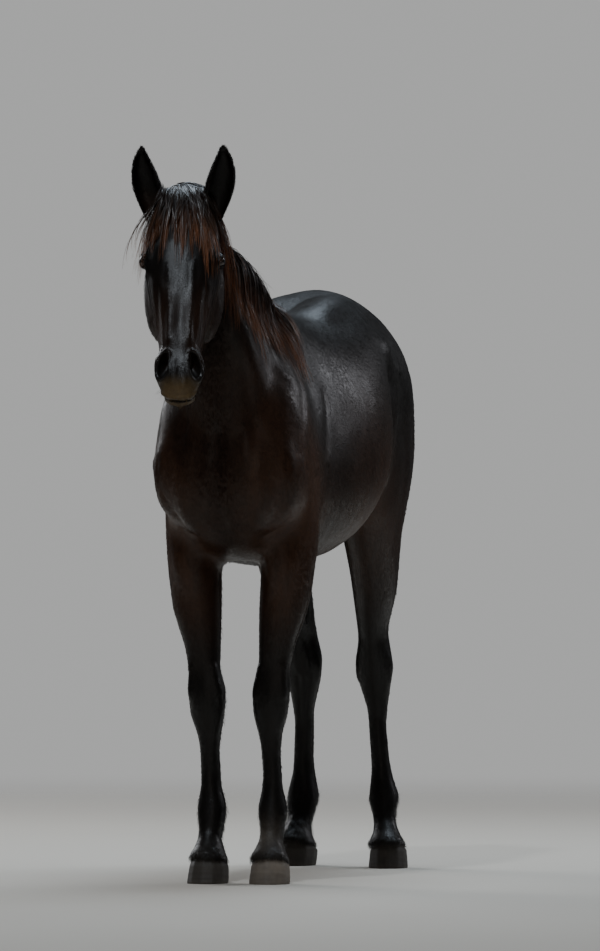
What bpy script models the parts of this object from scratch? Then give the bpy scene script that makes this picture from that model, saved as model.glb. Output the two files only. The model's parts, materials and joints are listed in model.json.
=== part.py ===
"""A dark riding horse, standing alert, as a life-size museum model.

Metres, +Z up. The horse faces -Y, so +X is its left side, and the floor is Z = 0. Lengths along the body are
first measured from the foreleg column, and the whole model is moved at the end so that the middle of its
bounding box stands over the origin.

The flesh is one body: overlapping lofts and muscles, fused by a voxel remesh, smoothed and thinned, and then
parted with thin cuts into the pieces that a person would name.
"""

import math

import bmesh
import bpy
import numpy as np
from mathutils import Matrix, Vector
from mathutils.bvhtree import BVHTree

# ---- driving sizes -------------------------------------------------------------------------------------
GAP = 0.0004  # clearance between neighbouring pieces
LIFT = 0.0012  # clearance of hair and ears over the skin that they lie on
RING = 36  # points round a loft
LOFT_STEPS = 5  # rings between two stated sections
FLESH_VOXEL = 0.0065
FLESH_TRIANGLES = 3600
HAIR_VOXEL = 0.0055

BOX_CENTRE = Vector((0.0, 0.374, 0.0))  # middle of the finished model, from the foreleg column

POLL = Vector((-0.034, -0.471, 1.838))  # top of the head, between the ears
HEAD_PITCH = math.radians(25)  # the face line, from the vertical
HEAD_YAW = math.radians(10.9)  # the head turns a little to the horse's left

EYE_RADIUS = 0.021
EYE_PLACE = (0.0895, 0.203, 0.043)  # aside, along the face and behind the face line

CORONET = (0.062, 0.34)  # height of the coronet at the foot's middle, and its rise towards the toe
KNEE_CUT, HOCK_CUT = 0.560, 0.680
TAIL_END = 0.46

# ---- the body's sections -------------------------------------------------------------------------------
# along the body, back line, belly line, half width, height of the widest line, back shape, belly shape
TRUNK = (
    (-0.245, 1.190, 1.035, 0.060, 1.12, 2.0, 2.0),
    (-0.200, 1.300, 0.955, 0.150, 1.12, 2.4, 2.0),
    (-0.120, 1.400, 0.890, 0.196, 1.12, 2.6, 2.0),
    (-0.020, 1.490, 0.855, 0.207, 1.12, 2.0, 2.1),
    (0.080, 1.550, 0.845, 0.208, 1.11, 1.45, 2.2),
    (0.180, 1.572, 0.840, 0.214, 1.09, 1.40, 2.2),
    (0.300, 1.540, 0.836, 0.238, 1.09, 1.65, 2.2),
    (0.430, 1.516, 0.838, 0.264, 1.12, 2.0, 2.2),
    (0.560, 1.520, 0.856, 0.272, 1.14, 2.2, 2.2),
    (0.680, 1.548, 0.893, 0.262, 1.17, 2.3, 2.1),
    (0.790, 1.578, 0.950, 0.240, 1.24, 2.2, 2.0),
    (0.900, 1.587, 1.000, 0.230, 1.29, 1.9, 2.0),
    (1.030, 1.572, 1.020, 0.232, 1.29, 1.9, 2.0),
    (1.150, 1.523, 1.050, 0.215, 1.27, 2.0, 2.0),
    (1.250, 1.450, 1.090, 0.175, 1.25, 2.0, 2.0),
    (1.310, 1.370, 1.160, 0.115, 1.25, 2.0, 2.0),
    (1.335, 1.320, 1.210, 0.060, 1.26, 2.0, 2.0),
)

# crest along and up, throat along and up, middle aside, half width
NECK = (
    (0.200, 1.545, -0.170, 0.980, 0.000, 0.165),
    (0.080, 1.548, -0.225, 1.120, 0.000, 0.144),
    (-0.040, 1.582, -0.262, 1.250, -0.004, 0.112),
    (-0.160, 1.634, -0.283, 1.360, -0.012, 0.090),
    (-0.275, 1.697, -0.294, 1.465, -0.022, 0.078),
    (-0.380, 1.768, -0.298, 1.560, -0.030, 0.072),
    (-0.450, 1.794, -0.335, 1.630, -0.034, 0.064),
)

# along the face, face line, lower line, half width, squareness
SKULL = (
    (-0.030, 0.052, 0.110, 0.038, 2.0),
    (0.010, 0.025, 0.135, 0.064, 2.1),
    (0.060, 0.006, 0.162, 0.082, 2.3),
    (0.120, -0.005, 0.182, 0.094, 2.5),
    (0.180, -0.010, 0.195, 0.099, 2.6),
    (0.240, -0.008, 0.200, 0.094, 2.6),
    (0.300, -0.004, 0.190, 0.084, 2.5),
    (0.360, 0.000, 0.170, 0.071, 2.4),
    (0.420, 0.003, 0.148, 0.060, 2.3),
    (0.475, 0.004, 0.134, 0.054, 2.2),
    (0.530, 0.004, 0.122, 0.055, 2.2),
    (0.575, 0.012, 0.110, 0.050, 2.1),
    (0.602, 0.028, 0.092, 0.038, 2.0),
)

# height, middle aside, middle along, half width, half depth
FORELEG_TOP = (
    (1.160, 0.140, 0.020, 0.060, 0.130),
    (1.020, 0.138, 0.030, 0.068, 0.125),
    (0.920, 0.134, 0.036, 0.072, 0.108),
    (0.840, 0.128, 0.030, 0.073, 0.092),
    (0.750, 0.121, 0.022, 0.068, 0.076),
    (0.690, 0.113, 0.018, 0.060, 0.066),
    (0.640, 0.105, 0.015, 0.051, 0.057),
    (0.585, 0.098, 0.012, 0.0445, 0.048),
)
FORELEG_LOW = (
    (0.550, 0.094, 0.010, 0.0445, 0.045),
    (0.515, 0.091, 0.010, 0.0520, 0.048),
    (0.475, 0.089, 0.012, 0.0510, 0.048),
    (0.435, 0.088, 0.016, 0.0450, 0.043),
    (0.400, 0.087, 0.020, 0.0340, 0.038),
    (0.350, 0.086, 0.024, 0.0268, 0.034),
    (0.290, 0.085, 0.026, 0.0262, 0.033),
    (0.245, 0.084, 0.026, 0.0300, 0.037),
    (0.205, 0.083, 0.025, 0.0395, 0.045),
    (0.175, 0.083, 0.018, 0.0385, 0.045),
    (0.140, 0.082, 0.002, 0.0310, 0.039),
    (0.112, 0.082, -0.012, 0.0330, 0.044),
    (0.085, 0.081, -0.023, 0.0430, 0.055),
    (0.066, 0.081, -0.029, 0.0465, 0.054),
    (0.030, 0.081, -0.034, 0.0490, 0.056),
)
# along is measured from the hock
HINDLEG_TOP = (
    (1.350, 0.112, -0.120, 0.085, 0.225),
    (1.230, 0.124, -0.118, 0.098, 0.270),
    (1.110, 0.130, -0.138, 0.098, 0.258),
    (1.010, 0.131, -0.163, 0.089, 0.232),
    (0.920, 0.130, -0.155, 0.076, 0.180),
    (0.840, 0.127, -0.125, 0.069, 0.130),
    (0.770, 0.121, -0.088, 0.062, 0.100),
    (0.710, 0.111, -0.055, 0.052, 0.082),
    (0.665, 0.102, -0.028, 0.0440, 0.073),
)
HINDLEG_LOW = (
    (0.630, 0.099, -0.004, 0.0420, 0.073),
    (0.590, 0.098, 0.004, 0.0485, 0.069),
    (0.550, 0.099, 0.006, 0.0530, 0.058),
    (0.500, 0.101, 0.010, 0.0450, 0.046),
    (0.450, 0.104, 0.012, 0.0325, 0.039),
    (0.400, 0.106, 0.013, 0.0262, 0.036),
    (0.350, 0.109, 0.013, 0.0258, 0.035),
    (0.300, 0.113, 0.014, 0.0265, 0.035),
    (0.250, 0.118, 0.014, 0.0310, 0.039),
    (0.210, 0.123, 0.012, 0.0405, 0.047),
    (0.180, 0.126, 0.004, 0.0425, 0.047),
    (0.145, 0.131, -0.014, 0.0335, 0.039),
    (0.115, 0.138, -0.030, 0.0335, 0.043),
    (0.088, 0.144, -0.042, 0.0410, 0.052),
    (0.066, 0.148, -0.048, 0.0455, 0.053),
    (0.030, 0.151, -0.054, 0.0480, 0.055),
)

# each leg's own stance: its side, how far its toe turns out, the hock's place along the body, and how far its
# middle line moves aside and along at a few heights
LEGS = {
    "foreleg_left": {
        "side": 1,
        "toe_out": 4,
        "root": 0.0,
        "shift": ((0.0, 0.012, 0.0), (0.4, -0.006, 0.0), (0.9, 0.0, 0.0)),
    },
    "foreleg_right": {
        "side": -1,
        "toe_out": 2,
        "root": 0.0,
        "shift": ((0.0, -0.006, 0.0), (0.4, 0.0, 0.0), (0.9, 0.0, 0.0)),
    },
    "hindleg_left": {
        "side": 1,
        "toe_out": 11,
        "root": 1.150,
        "shift": ((0.0, 0.0, 0.0), (1.2, 0.0, 0.0)),
    },
    "hindleg_right": {
        "side": -1,
        "toe_out": 20,
        "root": 1.150,
        "shift": (
            (0.0, -0.014, 0.120),
            (0.3, 0.018, 0.118),
            (0.62, 0.032, 0.105),
            (0.9, 0.010, 0.050),
            (1.25, 0.0, 0.0),
        ),
    },
}
# middle aside and along at the floor, half width, half length
# a hoof's rings: part of its height, part of its size on the floor, and how far back they stand
HOOF_RINGS = ((0.0, 1.0, 0.0), (0.1, 0.99, 0.003), (0.6, 0.945, 0.013), (1.0, 0.90, 0.020))
FORE_FOOT = (0.081, -0.042, 0.056, 0.066)
HIND_FOOT = (0.152, -0.056, 0.055, 0.064)


# ---- modelling tools -----------------------------------------------------------------------------------
def smooth_rows(rows, steps=LOFT_STEPS):
    """The stated sections with a smooth run of others between them."""
    rows = np.array(rows, float)
    padded = np.vstack([2 * rows[0] - rows[1], rows, 2 * rows[-1] - rows[-2]])
    dense = []
    for before, start, end, after in zip(padded, padded[1:], padded[2:], padded[3:]):
        for t in np.arange(steps) / steps:
            pull = (end - before) * t + (2 * before - 5 * start + 4 * end - after) * t**2
            dense.append(start + 0.5 * (pull + (3 * start - before - 3 * end + after) * t**3))
    return [*dense, rows[-1]]


def oval(half_width, up, down, shape_up=2.0, shape_down=2.0):
    """Points round a section as (aside, rise). A shape of 2 is an ellipse, and more is squarer."""
    points = []
    for turn in np.arange(RING) * 2 * math.pi / RING:
        aside, rise = math.cos(turn), math.sin(turn)
        shape, reach = (shape_up, up) if rise >= 0 else (shape_down, down)
        points.append(
            (
                half_width * math.copysign(abs(aside) ** (2 / shape), aside),
                reach * math.copysign(abs(rise) ** (2 / shape), rise),
            )
        )
    return points


def loft(bm, rings):
    """A closed skin through rings of points, with a cap at each end."""
    made = [[bm.verts.new(point) for point in ring] for ring in rings]
    for low, high in zip(made, made[1:]):
        for i in range(len(low)):
            j = (i + 1) % len(low)
            bm.faces.new((low[i], low[j], high[j], high[i]))
    bm.faces.new(made[0])
    bm.faces.new(made[-1])


def muscle(bm, start, end, radii, segments=24, rings=16):
    """A rounded belly from start to end; radii are its half sizes aside and across."""
    start, end = Vector(start), Vector(end)
    along = end - start
    turn = along.to_track_quat("Z", "Y").to_matrix().to_4x4()
    size = Matrix.Diagonal((radii[0], radii[1], along.length / 2, 1.0))
    place = Matrix.Translation((start + end) / 2) @ turn @ size
    bmesh.ops.create_uvsphere(bm, u_segments=segments, v_segments=rings, radius=1.0, matrix=place)


def both_sides(bm, start, end, radii):
    """The same muscle on the left and on the right."""
    for side in (1, -1):
        ends = [(side * x, y, z) for x, y, z in (start, end)]
        muscle(bm, *ends, radii)


def head_point(aside, along, behind):
    """A place on the head: to its left, down the face from the poll, and behind the face line."""
    forward = Vector((math.sin(HEAD_YAW), -math.cos(HEAD_YAW), 0))
    left = Vector((math.cos(HEAD_YAW), math.sin(HEAD_YAW), 0))
    down_face = forward * math.sin(HEAD_PITCH) - Vector((0, 0, math.cos(HEAD_PITCH)))
    into_head = -forward * math.cos(HEAD_PITCH) - Vector((0, 0, math.sin(HEAD_PITCH)))
    return POLL + left * aside + down_face * along + into_head * behind


# ---- the flesh -----------------------------------------------------------------------------------------
def add_trunk(bm):
    rings = []
    for y, top, bottom, half, middle, back, belly in smooth_rows(TRUNK):
        section = oval(half, top - middle, middle - bottom, back, belly)
        rings.append([(x, y, middle + rise) for x, rise in section])
    loft(bm, rings)


def add_neck(bm):
    rings = []
    for crest_y, crest_z, throat_y, throat_z, aside, half in smooth_rows(NECK):
        crest, throat = Vector((aside, crest_y, crest_z)), Vector((aside, throat_y, throat_z))
        middle = throat.lerp(crest, 0.44)
        section = oval(half, (crest - middle).length, (throat - middle).length, 1.55, 2.2)
        upward = (crest - throat).normalized()
        rings.append([middle + Vector((x, 0, 0)) + upward * rise for x, rise in section])
    loft(bm, rings)


def add_head(bm):
    rings = []
    for along, face, under, half, square in smooth_rows(SKULL):
        middle = face + (under - face) * 0.42
        section = oval(half, middle - face, under - middle, square, 2.0)
        rings.append([head_point(x, along, middle - rise) for x, rise in section])
    loft(bm, rings)

    def lump(start, end, radii):
        for side in (1, -1):
            ends = [head_point(side * p[0], p[1], p[2]) for p in (start, end)]
            muscle(bm, *ends, radii)

    lump((0.053, 0.078, 0.153), (0.054, 0.380, 0.158), (0.051, 0.096))  # cheek
    lump((0.030, 0.260, 0.190), (0.014, 0.580, 0.100), (0.024, 0.030))  # lower jaw
    lump((0.074, 0.150, 0.032), (0.078, 0.252, 0.046), (0.025, 0.030))  # rim of the eye
    lump((0.080, 0.210, 0.072), (0.054, 0.400, 0.088), (0.016, 0.018))  # facial crest
    lump((0.024, 0.200, 0.014), (0.020, 0.520, 0.020), (0.016, 0.022))  # nasal bone
    lump((0.043, 0.462, 0.028), (0.048, 0.562, 0.050), (0.0265, 0.028))  # nostril wing
    muscle(bm, head_point(0, 0.535, 0.050), head_point(0, 0.612, 0.062), (0.043, 0.034))  # upper lip
    muscle(bm, head_point(0, 0.520, 0.098), head_point(0, 0.598, 0.094), (0.040, 0.025))  # chin
    lump((0.030, 0.010, 0.020), (0.070, 0.080, 0.045), (0.030, 0.030))  # root of the ear


def add_muscles(bm):
    both_sides(bm, (0.055, -0.195, 1.240), (0.075, -0.150, 0.930), (0.075, 0.068))  # breast
    both_sides(bm, (0.148, -0.190, 1.180), (0.158, -0.090, 0.960), (0.048, 0.062))  # point of shoulder
    both_sides(bm, (0.060, 0.130, 1.520), (0.170, -0.130, 1.080), (0.046, 0.085))  # shoulder blade
    both_sides(bm, (0.125, 0.230, 1.370), (0.154, 0.080, 0.930), (0.062, 0.088))  # triceps
    both_sides(bm, (0.110, -0.170, 1.230), (0.030, -0.310, 1.580), (0.030, 0.046))  # neck, lower edge
    both_sides(bm, (0.062, 0.120, 1.410), (0.030, -0.330, 1.650), (0.030, 0.075))  # neck, upper half
    both_sides(bm, (0.120, 0.110, 1.020), (0.142, 0.135, 0.920), (0.036, 0.040))  # point of elbow
    both_sides(bm, (0.128, -0.050, 0.960), (0.124, -0.020, 0.740), (0.048, 0.050))  # front of forearm
    both_sides(bm, (0.085, 0.820, 1.490), (0.130, 1.150, 1.370), (0.088, 0.074))  # gluteal
    both_sides(bm, (0.150, 0.700, 1.450), (0.196, 0.870, 1.400), (0.046, 0.044))  # point of hip
    both_sides(bm, (0.172, 0.790, 1.400), (0.172, 0.830, 1.020), (0.058, 0.110))  # front of thigh
    both_sides(bm, (0.075, 1.230, 1.420), (0.115, 1.205, 0.960), (0.062, 0.080))  # back of thigh
    both_sides(bm, (0.135, 0.790, 1.030), (0.140, 0.840, 0.950), (0.055, 0.055))  # stifle
    both_sides(bm, (0.060, 0.420, 1.465), (0.070, 0.850, 1.540), (0.060, 0.050))  # loin


def leg_table(name):
    if name.startswith("fore"):
        return FORELEG_TOP + FORELEG_LOW
    return HINDLEG_TOP + HINDLEG_LOW


def leg_middle(name, z, aside, along):
    """A point of a leg's middle line, in its own stance."""
    leg = LEGS[name]
    heights, out, back = zip(*leg["shift"])
    aside += float(np.interp(z, heights, out))
    along += float(np.interp(z, heights, back))
    return Vector((leg["side"] * aside, leg["root"] + along, z))


def leg_turn(name, z):
    """The leg turns outwards towards its foot."""
    leg = LEGS[name]
    down = min(1.0, max(0.0, 1.0 - z))
    return Matrix.Rotation(leg["side"] * math.radians(leg["toe_out"]) * down, 3, "Z")


def add_legs(bm):
    for name in LEGS:
        rings = []
        for z, aside, along, half, depth in smooth_rows(leg_table(name)):
            middle, turn = leg_middle(name, z, aside, along), leg_turn(name, z)
            shape = 2.0 + 0.25 * max(0.0, 1.0 - z)
            section = oval(half, depth, depth, shape, shape)
            rings.append([middle + turn @ Vector((x, y, 0)) for x, y in section])
        loft(bm, rings)
        if name.startswith("hind"):
            heel = leg_middle(name, 0.66, 0.100, 0.052)
            below = leg_middle(name, 0.56, 0.100, 0.050)
            muscle(bm, heel, below, (0.022, 0.030))  # point of hock
            muscle(bm, leg_middle(name, 0.95, 0.125, 0.02), heel, (0.020, 0.028))  # hock tendon
            high, low = leg_middle(name, 0.99, 0.150, -0.20), leg_middle(name, 0.72, 0.128, -0.07)
            muscle(bm, high, low, (0.045, 0.06))
        else:
            high, low = leg_middle(name, 0.49, 0.089, 0.045), leg_middle(name, 0.455, 0.089, 0.048)
            muscle(bm, high, low, (0.024, 0.022))


def cleaned(mesh):
    """The mesh in triangles, with as many doubles and slivers merged as leave it closed."""
    for distance in (0.0004, 0.0001, 0.00001, 0.000001):
        bm = bmesh.new()
        bm.from_mesh(mesh)
        bmesh.ops.remove_doubles(bm, verts=bm.verts, dist=distance)
        bmesh.ops.dissolve_degenerate(bm, edges=bm.edges, dist=distance / 2)
        bmesh.ops.triangulate(bm, faces=bm.faces)
        if all(edge.is_manifold for edge in bm.edges):
            bmesh.ops.recalc_face_normals(bm, faces=bm.faces)
            bm.to_mesh(mesh)
            bm.free()
            return mesh
        bm.free()
    return mesh


def add_object(name, bm, collection):
    mesh = bpy.data.meshes.new(name)
    bmesh.ops.recalc_face_normals(bm, faces=bm.faces)
    bm.to_mesh(mesh)
    bm.free()
    obj = bpy.data.objects.new(name, mesh)
    collection.objects.link(obj)
    return obj


def settle(obj):
    """Replace an object's mesh by what its modifiers make of it."""
    bpy.context.view_layer.update()
    graph = bpy.context.evaluated_depsgraph_get()
    mesh = bpy.data.meshes.new_from_object(obj.evaluated_get(graph))
    obj.modifiers.clear()
    obj.data = cleaned(mesh)
    return obj


def fuse(obj, voxel, smoothing, triangles):
    """Remesh the overlapping shapes of an object into one skin, smooth it, and thin it to about that many."""
    remesh = obj.modifiers.new("fuse", "REMESH")
    remesh.mode = "VOXEL"
    remesh.voxel_size = voxel
    settle(obj)
    for name, weigh, factor, times in smoothing:
        group = obj.vertex_groups.new(name=name)
        for vert in obj.data.vertices:
            group.add([vert.index], weigh(vert.co), "REPLACE")
        soften = obj.modifiers.new(name, "SMOOTH")
        soften.factor = factor
        soften.iterations = times
        soften.vertex_group = name
    settle(obj)
    thin = obj.modifiers.new("thin", "DECIMATE")
    thin.ratio = triangles / len(obj.data.polygons)
    return settle(obj)


def broadness(point):
    """1 on the trunk and the neck, falling to 0 on the head, the lower legs and the feet."""
    head = (point - head_point(0, 0.2, 0.08)).length
    off_head = min(1.0, max(0.0, (head - 0.24) / 0.25))
    off_legs = min(1.0, max(0.0, (point.z - 0.72) / 0.25))
    return off_head * off_legs


def make_flesh(collection):
    bm = bmesh.new()
    for add in (add_trunk, add_neck, add_head, add_muscles, add_legs):
        add(bm)
    flesh = add_object("flesh", bm, collection)
    smoothing = (
        ("broad", broadness, 0.9, 60),
        ("fine", lambda point: 1.0, 0.5, 5),
    )
    return fuse(flesh, FLESH_VOXEL, smoothing, FLESH_TRIANGLES)


def grown(polygon, grow):
    """A convex outline, listed anticlockwise, with every side moved outwards."""
    sides = []
    for (x0, y0), (x1, y1) in zip(polygon, polygon[1:] + polygon[:1]):
        length = math.hypot(x1 - x0, y1 - y0)
        normal = ((y1 - y0) / length, -(x1 - x0) / length)
        sides.append((*normal, normal[0] * x0 + normal[1] * y0 + grow))
    corners = []
    for (a0, b0, c0), (a1, b1, c1) in zip(sides[-1:] + sides[:-1], sides):
        scale = a0 * b1 - a1 * b0
        corners.append(((c0 * b1 - c1 * b0) / scale, (a0 * c1 - a1 * c0) / scale))
    return corners


def prism(outline, low, high, plane, grow=0.0):
    """A closed prism over an outline in the YZ plane (extruded along X) or in the XZ plane (along Y)."""
    bm = bmesh.new()
    ends = []
    for depth in (low - grow, high + grow):
        corners = grown(outline, grow)
        points = [(depth, a, b) if plane == "YZ" else (a, depth, b) for a, b in corners]
        ends.append([bm.verts.new(point) for point in points])
    for i in range(len(outline)):
        j = (i + 1) % len(outline)
        bm.faces.new((ends[0][i], ends[0][j], ends[1][j], ends[1][i]))
    bm.faces.new(ends[0])
    bm.faces.new(ends[1])
    bmesh.ops.recalc_face_normals(bm, faces=bm.faces)
    return bm


def boolean(obj, operation, cutter_bm, cutters):
    """Cut an object by a shape, or keep what lies in it. The cutter stays in its collection, hidden."""
    cutter = add_object(f"cut_{len(cutters.objects):02d}", cutter_bm, cutters)
    cutter.hide_render = True
    cutter.display_type = "WIRE"
    cut = obj.modifiers.new("cut", "BOOLEAN")
    cut.operation = operation
    cut.object = cutter
    return settle(obj)


def copy_of(obj, name):
    twin = bpy.data.objects.new(name, obj.data.copy())
    obj.users_collection[0].objects.link(twin)
    return twin


def keep_largest(obj):
    """Drop the crumbs that a cut may leave beside the piece."""
    bm = bmesh.new()
    bm.from_mesh(obj.data)
    todo, bodies = set(bm.faces), []
    while todo:
        body, front = [], [todo.pop()]
        while front:
            face = front.pop()
            body.append(face)
            for edge in face.edges:
                for other in edge.link_faces:
                    if other in todo:
                        todo.discard(other)
                        front.append(other)
        bodies.append(body)
    bodies.sort(key=lambda body: sum(face.calc_area() for face in body))
    for body in bodies[:-1]:
        bmesh.ops.delete(bm, geom=body, context="FACES")
    bm.to_mesh(obj.data)
    bm.free()
    return obj


def part_off(body, name, shape, cutters):
    """Take what lies in a region off a body as a piece of its own, with the gap between them."""
    piece = copy_of(body, name)
    boolean(piece, "INTERSECT", shape(0.0), cutters)
    boolean(body, "DIFFERENCE", shape(GAP), cutters)
    keep_largest(body)
    return keep_largest(piece)


def cut_by(piece, body, cutters, lift=LIFT):
    """Cut a piece back from a body that it lies on, with a little room between them."""
    shell = copy_of(body, "shell")
    swell = shell.modifiers.new("swell", "DISPLACE")
    swell.strength = lift
    swell.mid_level = 0.0
    settle(shell)
    outer = bmesh.new()
    outer.from_mesh(shell.data)
    bpy.data.objects.remove(shell, do_unlink=True)
    boolean(piece, "DIFFERENCE", outer, cutters)
    return keep_largest(piece)


# ---- the pieces of the flesh ---------------------------------------------------------------------------
# outlines in the YZ plane, anticlockwise
HEAD_REGION = ((-1.1, 1.10), (-0.345, 1.10), (-0.322, 1.46), (-0.385, 2.0), (-1.1, 2.0))
NECK_REGION = ((-1.1, 1.05), (-0.300, 1.05), (0.152, 1.62), (0.152, 2.0), (-1.1, 2.0))


def foreleg_outline(side):
    """The foreleg's region in the XZ plane: it leaves the body on a slope that rises outwards."""
    outline = ((0.0002, -0.1), (0.5, -0.1), (0.5, 1.28), (0.052, 0.840), (0.0002, 0.800))
    return outline if side > 0 else tuple((-x, z) for x, z in reversed(outline))


def hindleg_outline(side):
    outline = ((0.0002, -0.1), (0.5, -0.1), (0.5, 1.48), (0.030, 1.000), (0.0002, 0.980))
    return outline if side > 0 else tuple((-x, z) for x, z in reversed(outline))


def foot_outline(name):
    """What lies below the coronet, in the YZ plane."""
    foot = FORE_FOOT if name.startswith("fore") else HIND_FOOT
    middle = leg_middle(name, 0.0, foot[0], foot[1])
    height, rise = CORONET
    toe, heel = middle.y - 0.2, middle.y + 0.2
    return ((toe, -0.1), (heel, -0.1), (heel, height - 0.2 * rise), (toe, height + 0.2 * rise)), middle


def part_flesh(flesh, cutters):
    """Part the flesh into head, neck, legs and trunk."""
    pieces = [
        part_off(flesh, "head", lambda grow: prism(HEAD_REGION, -0.5, 0.5, "YZ", grow), cutters),
        part_off(flesh, "neck", lambda grow: prism(NECK_REGION, -0.5, 0.5, "YZ", grow), cutters),
    ]
    for name, leg in LEGS.items():
        side = leg["side"]
        if name.startswith("fore"):
            outline, ends, cut = foreleg_outline(side), (-0.4, 0.165), KNEE_CUT
        else:
            outline, ends, cut = hindleg_outline(side), (0.725, 1.6), HOCK_CUT
        limb = part_off(flesh, name + "_upper", lambda grow: prism(outline, *ends, "XZ", grow), cutters)
        floor = ((-1.0, -0.2), (2.0, -0.2), (2.0, cut), (-1.0, cut))
        lower = part_off(limb, name + "_lower", lambda grow: prism(floor, -0.5, 0.5, "YZ", grow), cutters)
        foot, middle = foot_outline(name)
        boolean(lower, "DIFFERENCE", turned(prism(foot, -0.5, 0.5, "YZ", GAP), name, middle), cutters)
        pieces += [limb, keep_largest(lower)]
    flesh.name = "trunk"
    return [*pieces, flesh]


def turned(bm, name, middle):
    """A shape about a foot, turned with the toe."""
    spin = Matrix.Translation(middle) @ leg_turn(name, 0.0).to_4x4() @ Matrix.Translation(-middle)
    bmesh.ops.transform(bm, matrix=spin, verts=bm.verts)
    return bm


# ---- eyes, ears, hooves and long hair ------------------------------------------------------------------
def make_hoof(name, collection):
    """A hoof: an oval on the floor, sloping up and back to the coronet."""
    front = name.startswith("fore")
    aside, along, half, length = FORE_FOOT if front else HIND_FOOT
    middle = leg_middle(name, 0.0, aside, along)
    height, rise = CORONET
    rings = []
    for part, narrow, back in HOOF_RINGS:
        ring = []
        for x, y in oval(half * narrow, length * narrow * 0.88, length * narrow, 2.2, 2.1)[::3]:
            at = Vector((x, y + back, 0))
            top = height - rise * at.y
            ring.append(middle + at + Vector((0, 0, max(0.0, top) * part)))
        rings.append(ring)
    bm = bmesh.new()
    loft(bm, rings)
    side = "left" if name.endswith("left") else "right"
    hoof = add_object(f"hoof_{'front' if front else 'hind'}_{side}", turned(bm, name, middle), collection)
    return settle(hoof)


def eye_place(side):
    aside, along, behind = EYE_PLACE
    return head_point(side * aside, along, behind)


def sphere(centre, radius, segments=12, rings=8):
    bm = bmesh.new()
    bmesh.ops.create_uvsphere(
        bm, u_segments=segments, v_segments=rings, radius=radius, matrix=Matrix.Translation(centre)
    )
    return bm


def make_eye(side, collection):
    name = "eye_left" if side > 0 else "eye_right"
    return add_object(name, sphere(eye_place(side), EYE_RADIUS), collection)


# height up the ear, half width, cup depth, lean outwards, lean forwards
EAR = (
    (-0.040, 0.024, 0.022, -0.018, 0.000),
    (-0.010, 0.031, 0.026, -0.011, 0.000),
    (0.025, 0.038, 0.028, -0.002, -0.002),
    (0.062, 0.039, 0.027, 0.007, -0.005),
    (0.098, 0.033, 0.021, 0.014, -0.009),
    (0.128, 0.022, 0.013, 0.018, -0.014),
    (0.150, 0.011, 0.007, 0.018, -0.018),
    (0.161, 0.004, 0.004, 0.017, -0.020),
)
EAR_ROOT = {1: (0.088, -0.446, 1.776), -1: (-0.096, -0.446, 1.774)}  # beside the head's middle, along and up
EAR_WALL = 0.0032
EAR_OPENING = math.radians(58)  # half the angle that the cup leaves open


def make_ear(side, collection):
    """A cupped ear, open to the front and a little outwards."""
    rings = []
    face_out = Matrix.Rotation(HEAD_YAW + side * math.radians(14), 3, "Z")
    aside, along, up = EAR_ROOT[side]
    root = Vector((POLL.x + aside, along, up))
    for z, half, depth, out, ahead in smooth_rows(EAR, 1):
        ring = []
        wall = min(EAR_WALL, half * 0.45)
        for shell, sweep in ((0.0, np.linspace(0, 1, 9)), (wall, np.linspace(1, 0, 9))):
            for t in sweep:
                angle = EAR_OPENING + (2 * math.pi - 2 * EAR_OPENING) * t
                x = (half - shell) * math.sin(angle)
                y = -(depth - shell) * math.cos(angle)
                ring.append(Vector((x, y, 0)))
        middle = root + Vector((side * out, ahead, z))
        rings.append([middle + face_out @ point for point in ring])
    bm = bmesh.new()
    loft(bm, rings)
    return settle(add_object(f"ear_{'left' if side > 0 else 'right'}", bm, collection))


def nearest(tree, point):
    place, normal, _, _ = tree.find_nearest(point)
    return place, normal


def drape(tree, start, heading, length, steps, lift, fall=0.5):
    """Points of a lock that starts on the flesh and lies along it, falling more and more."""
    place, normal = nearest(tree, Vector(start))
    heading = Vector(heading).normalized()
    points = [place + normal * lift]
    for i in range(steps):
        wanted = heading.lerp(Vector((0, 0, -1)), min(1.0, fall * (i + 1) / steps)).normalized()
        along = wanted - normal * wanted.dot(normal)
        place, normal = nearest(tree, place + along.normalized() * length / steps)
        points.append(place + normal * lift)
    return points


def lock(bm, points, width, thick, outward):
    """A tapered lock of hair along some points, flat against the body."""
    rings = []
    last = len(points) - 1
    for i, point in enumerate(points):
        along = (points[min(i + 1, last)] - points[max(i - 1, 0)]).normalized()
        out = outward(point)
        across = along.cross(out).normalized()
        out = across.cross(along).normalized()
        t = i / last
        size = (0.55 + 0.45 * math.sin(math.pi * min(1.0, 0.25 + t))) * (1.0 - 0.75 * t**3)
        turns = np.arange(8) * math.pi / 4
        section = [(math.cos(turn) * width * size, math.sin(turn) * thick * size) for turn in turns]
        rings.append([point + across * x + out * y for x, y in section])
    loft(bm, rings)


def make_hair(name, locks, triangles, tree, skin, cutters, collection):
    """Locks fused into one solid that lies on the skin without touching it."""
    bm = bmesh.new()
    for points, width, thick in locks:
        lock(bm, points, width, thick, lambda point: nearest(tree, point)[1])
    hair = add_object(name, bm, collection)
    fuse(hair, HAIR_VOXEL, (("soft", lambda point: 1.0, 0.5, 3),), 5 * triangles)
    cut_by(hair, skin, cutters, 3 * LIFT)
    thin = hair.modifiers.new("thin", "DECIMATE")
    thin.ratio = triangles / len(hair.data.polygons)
    settle(hair)
    return cut_by(hair, skin, cutters, GAP)


def crest_point(t):
    """A place on the crest, from the poll at 0 to the withers at 1."""
    rows = np.array(NECK)[::-1]
    knots = np.linspace(0.0, 1.0, len(rows))
    aside, along, up = (float(np.interp(t, knots, rows[:, i])) for i in (4, 0, 1))
    return Vector((aside, along, up + 0.01))


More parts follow.
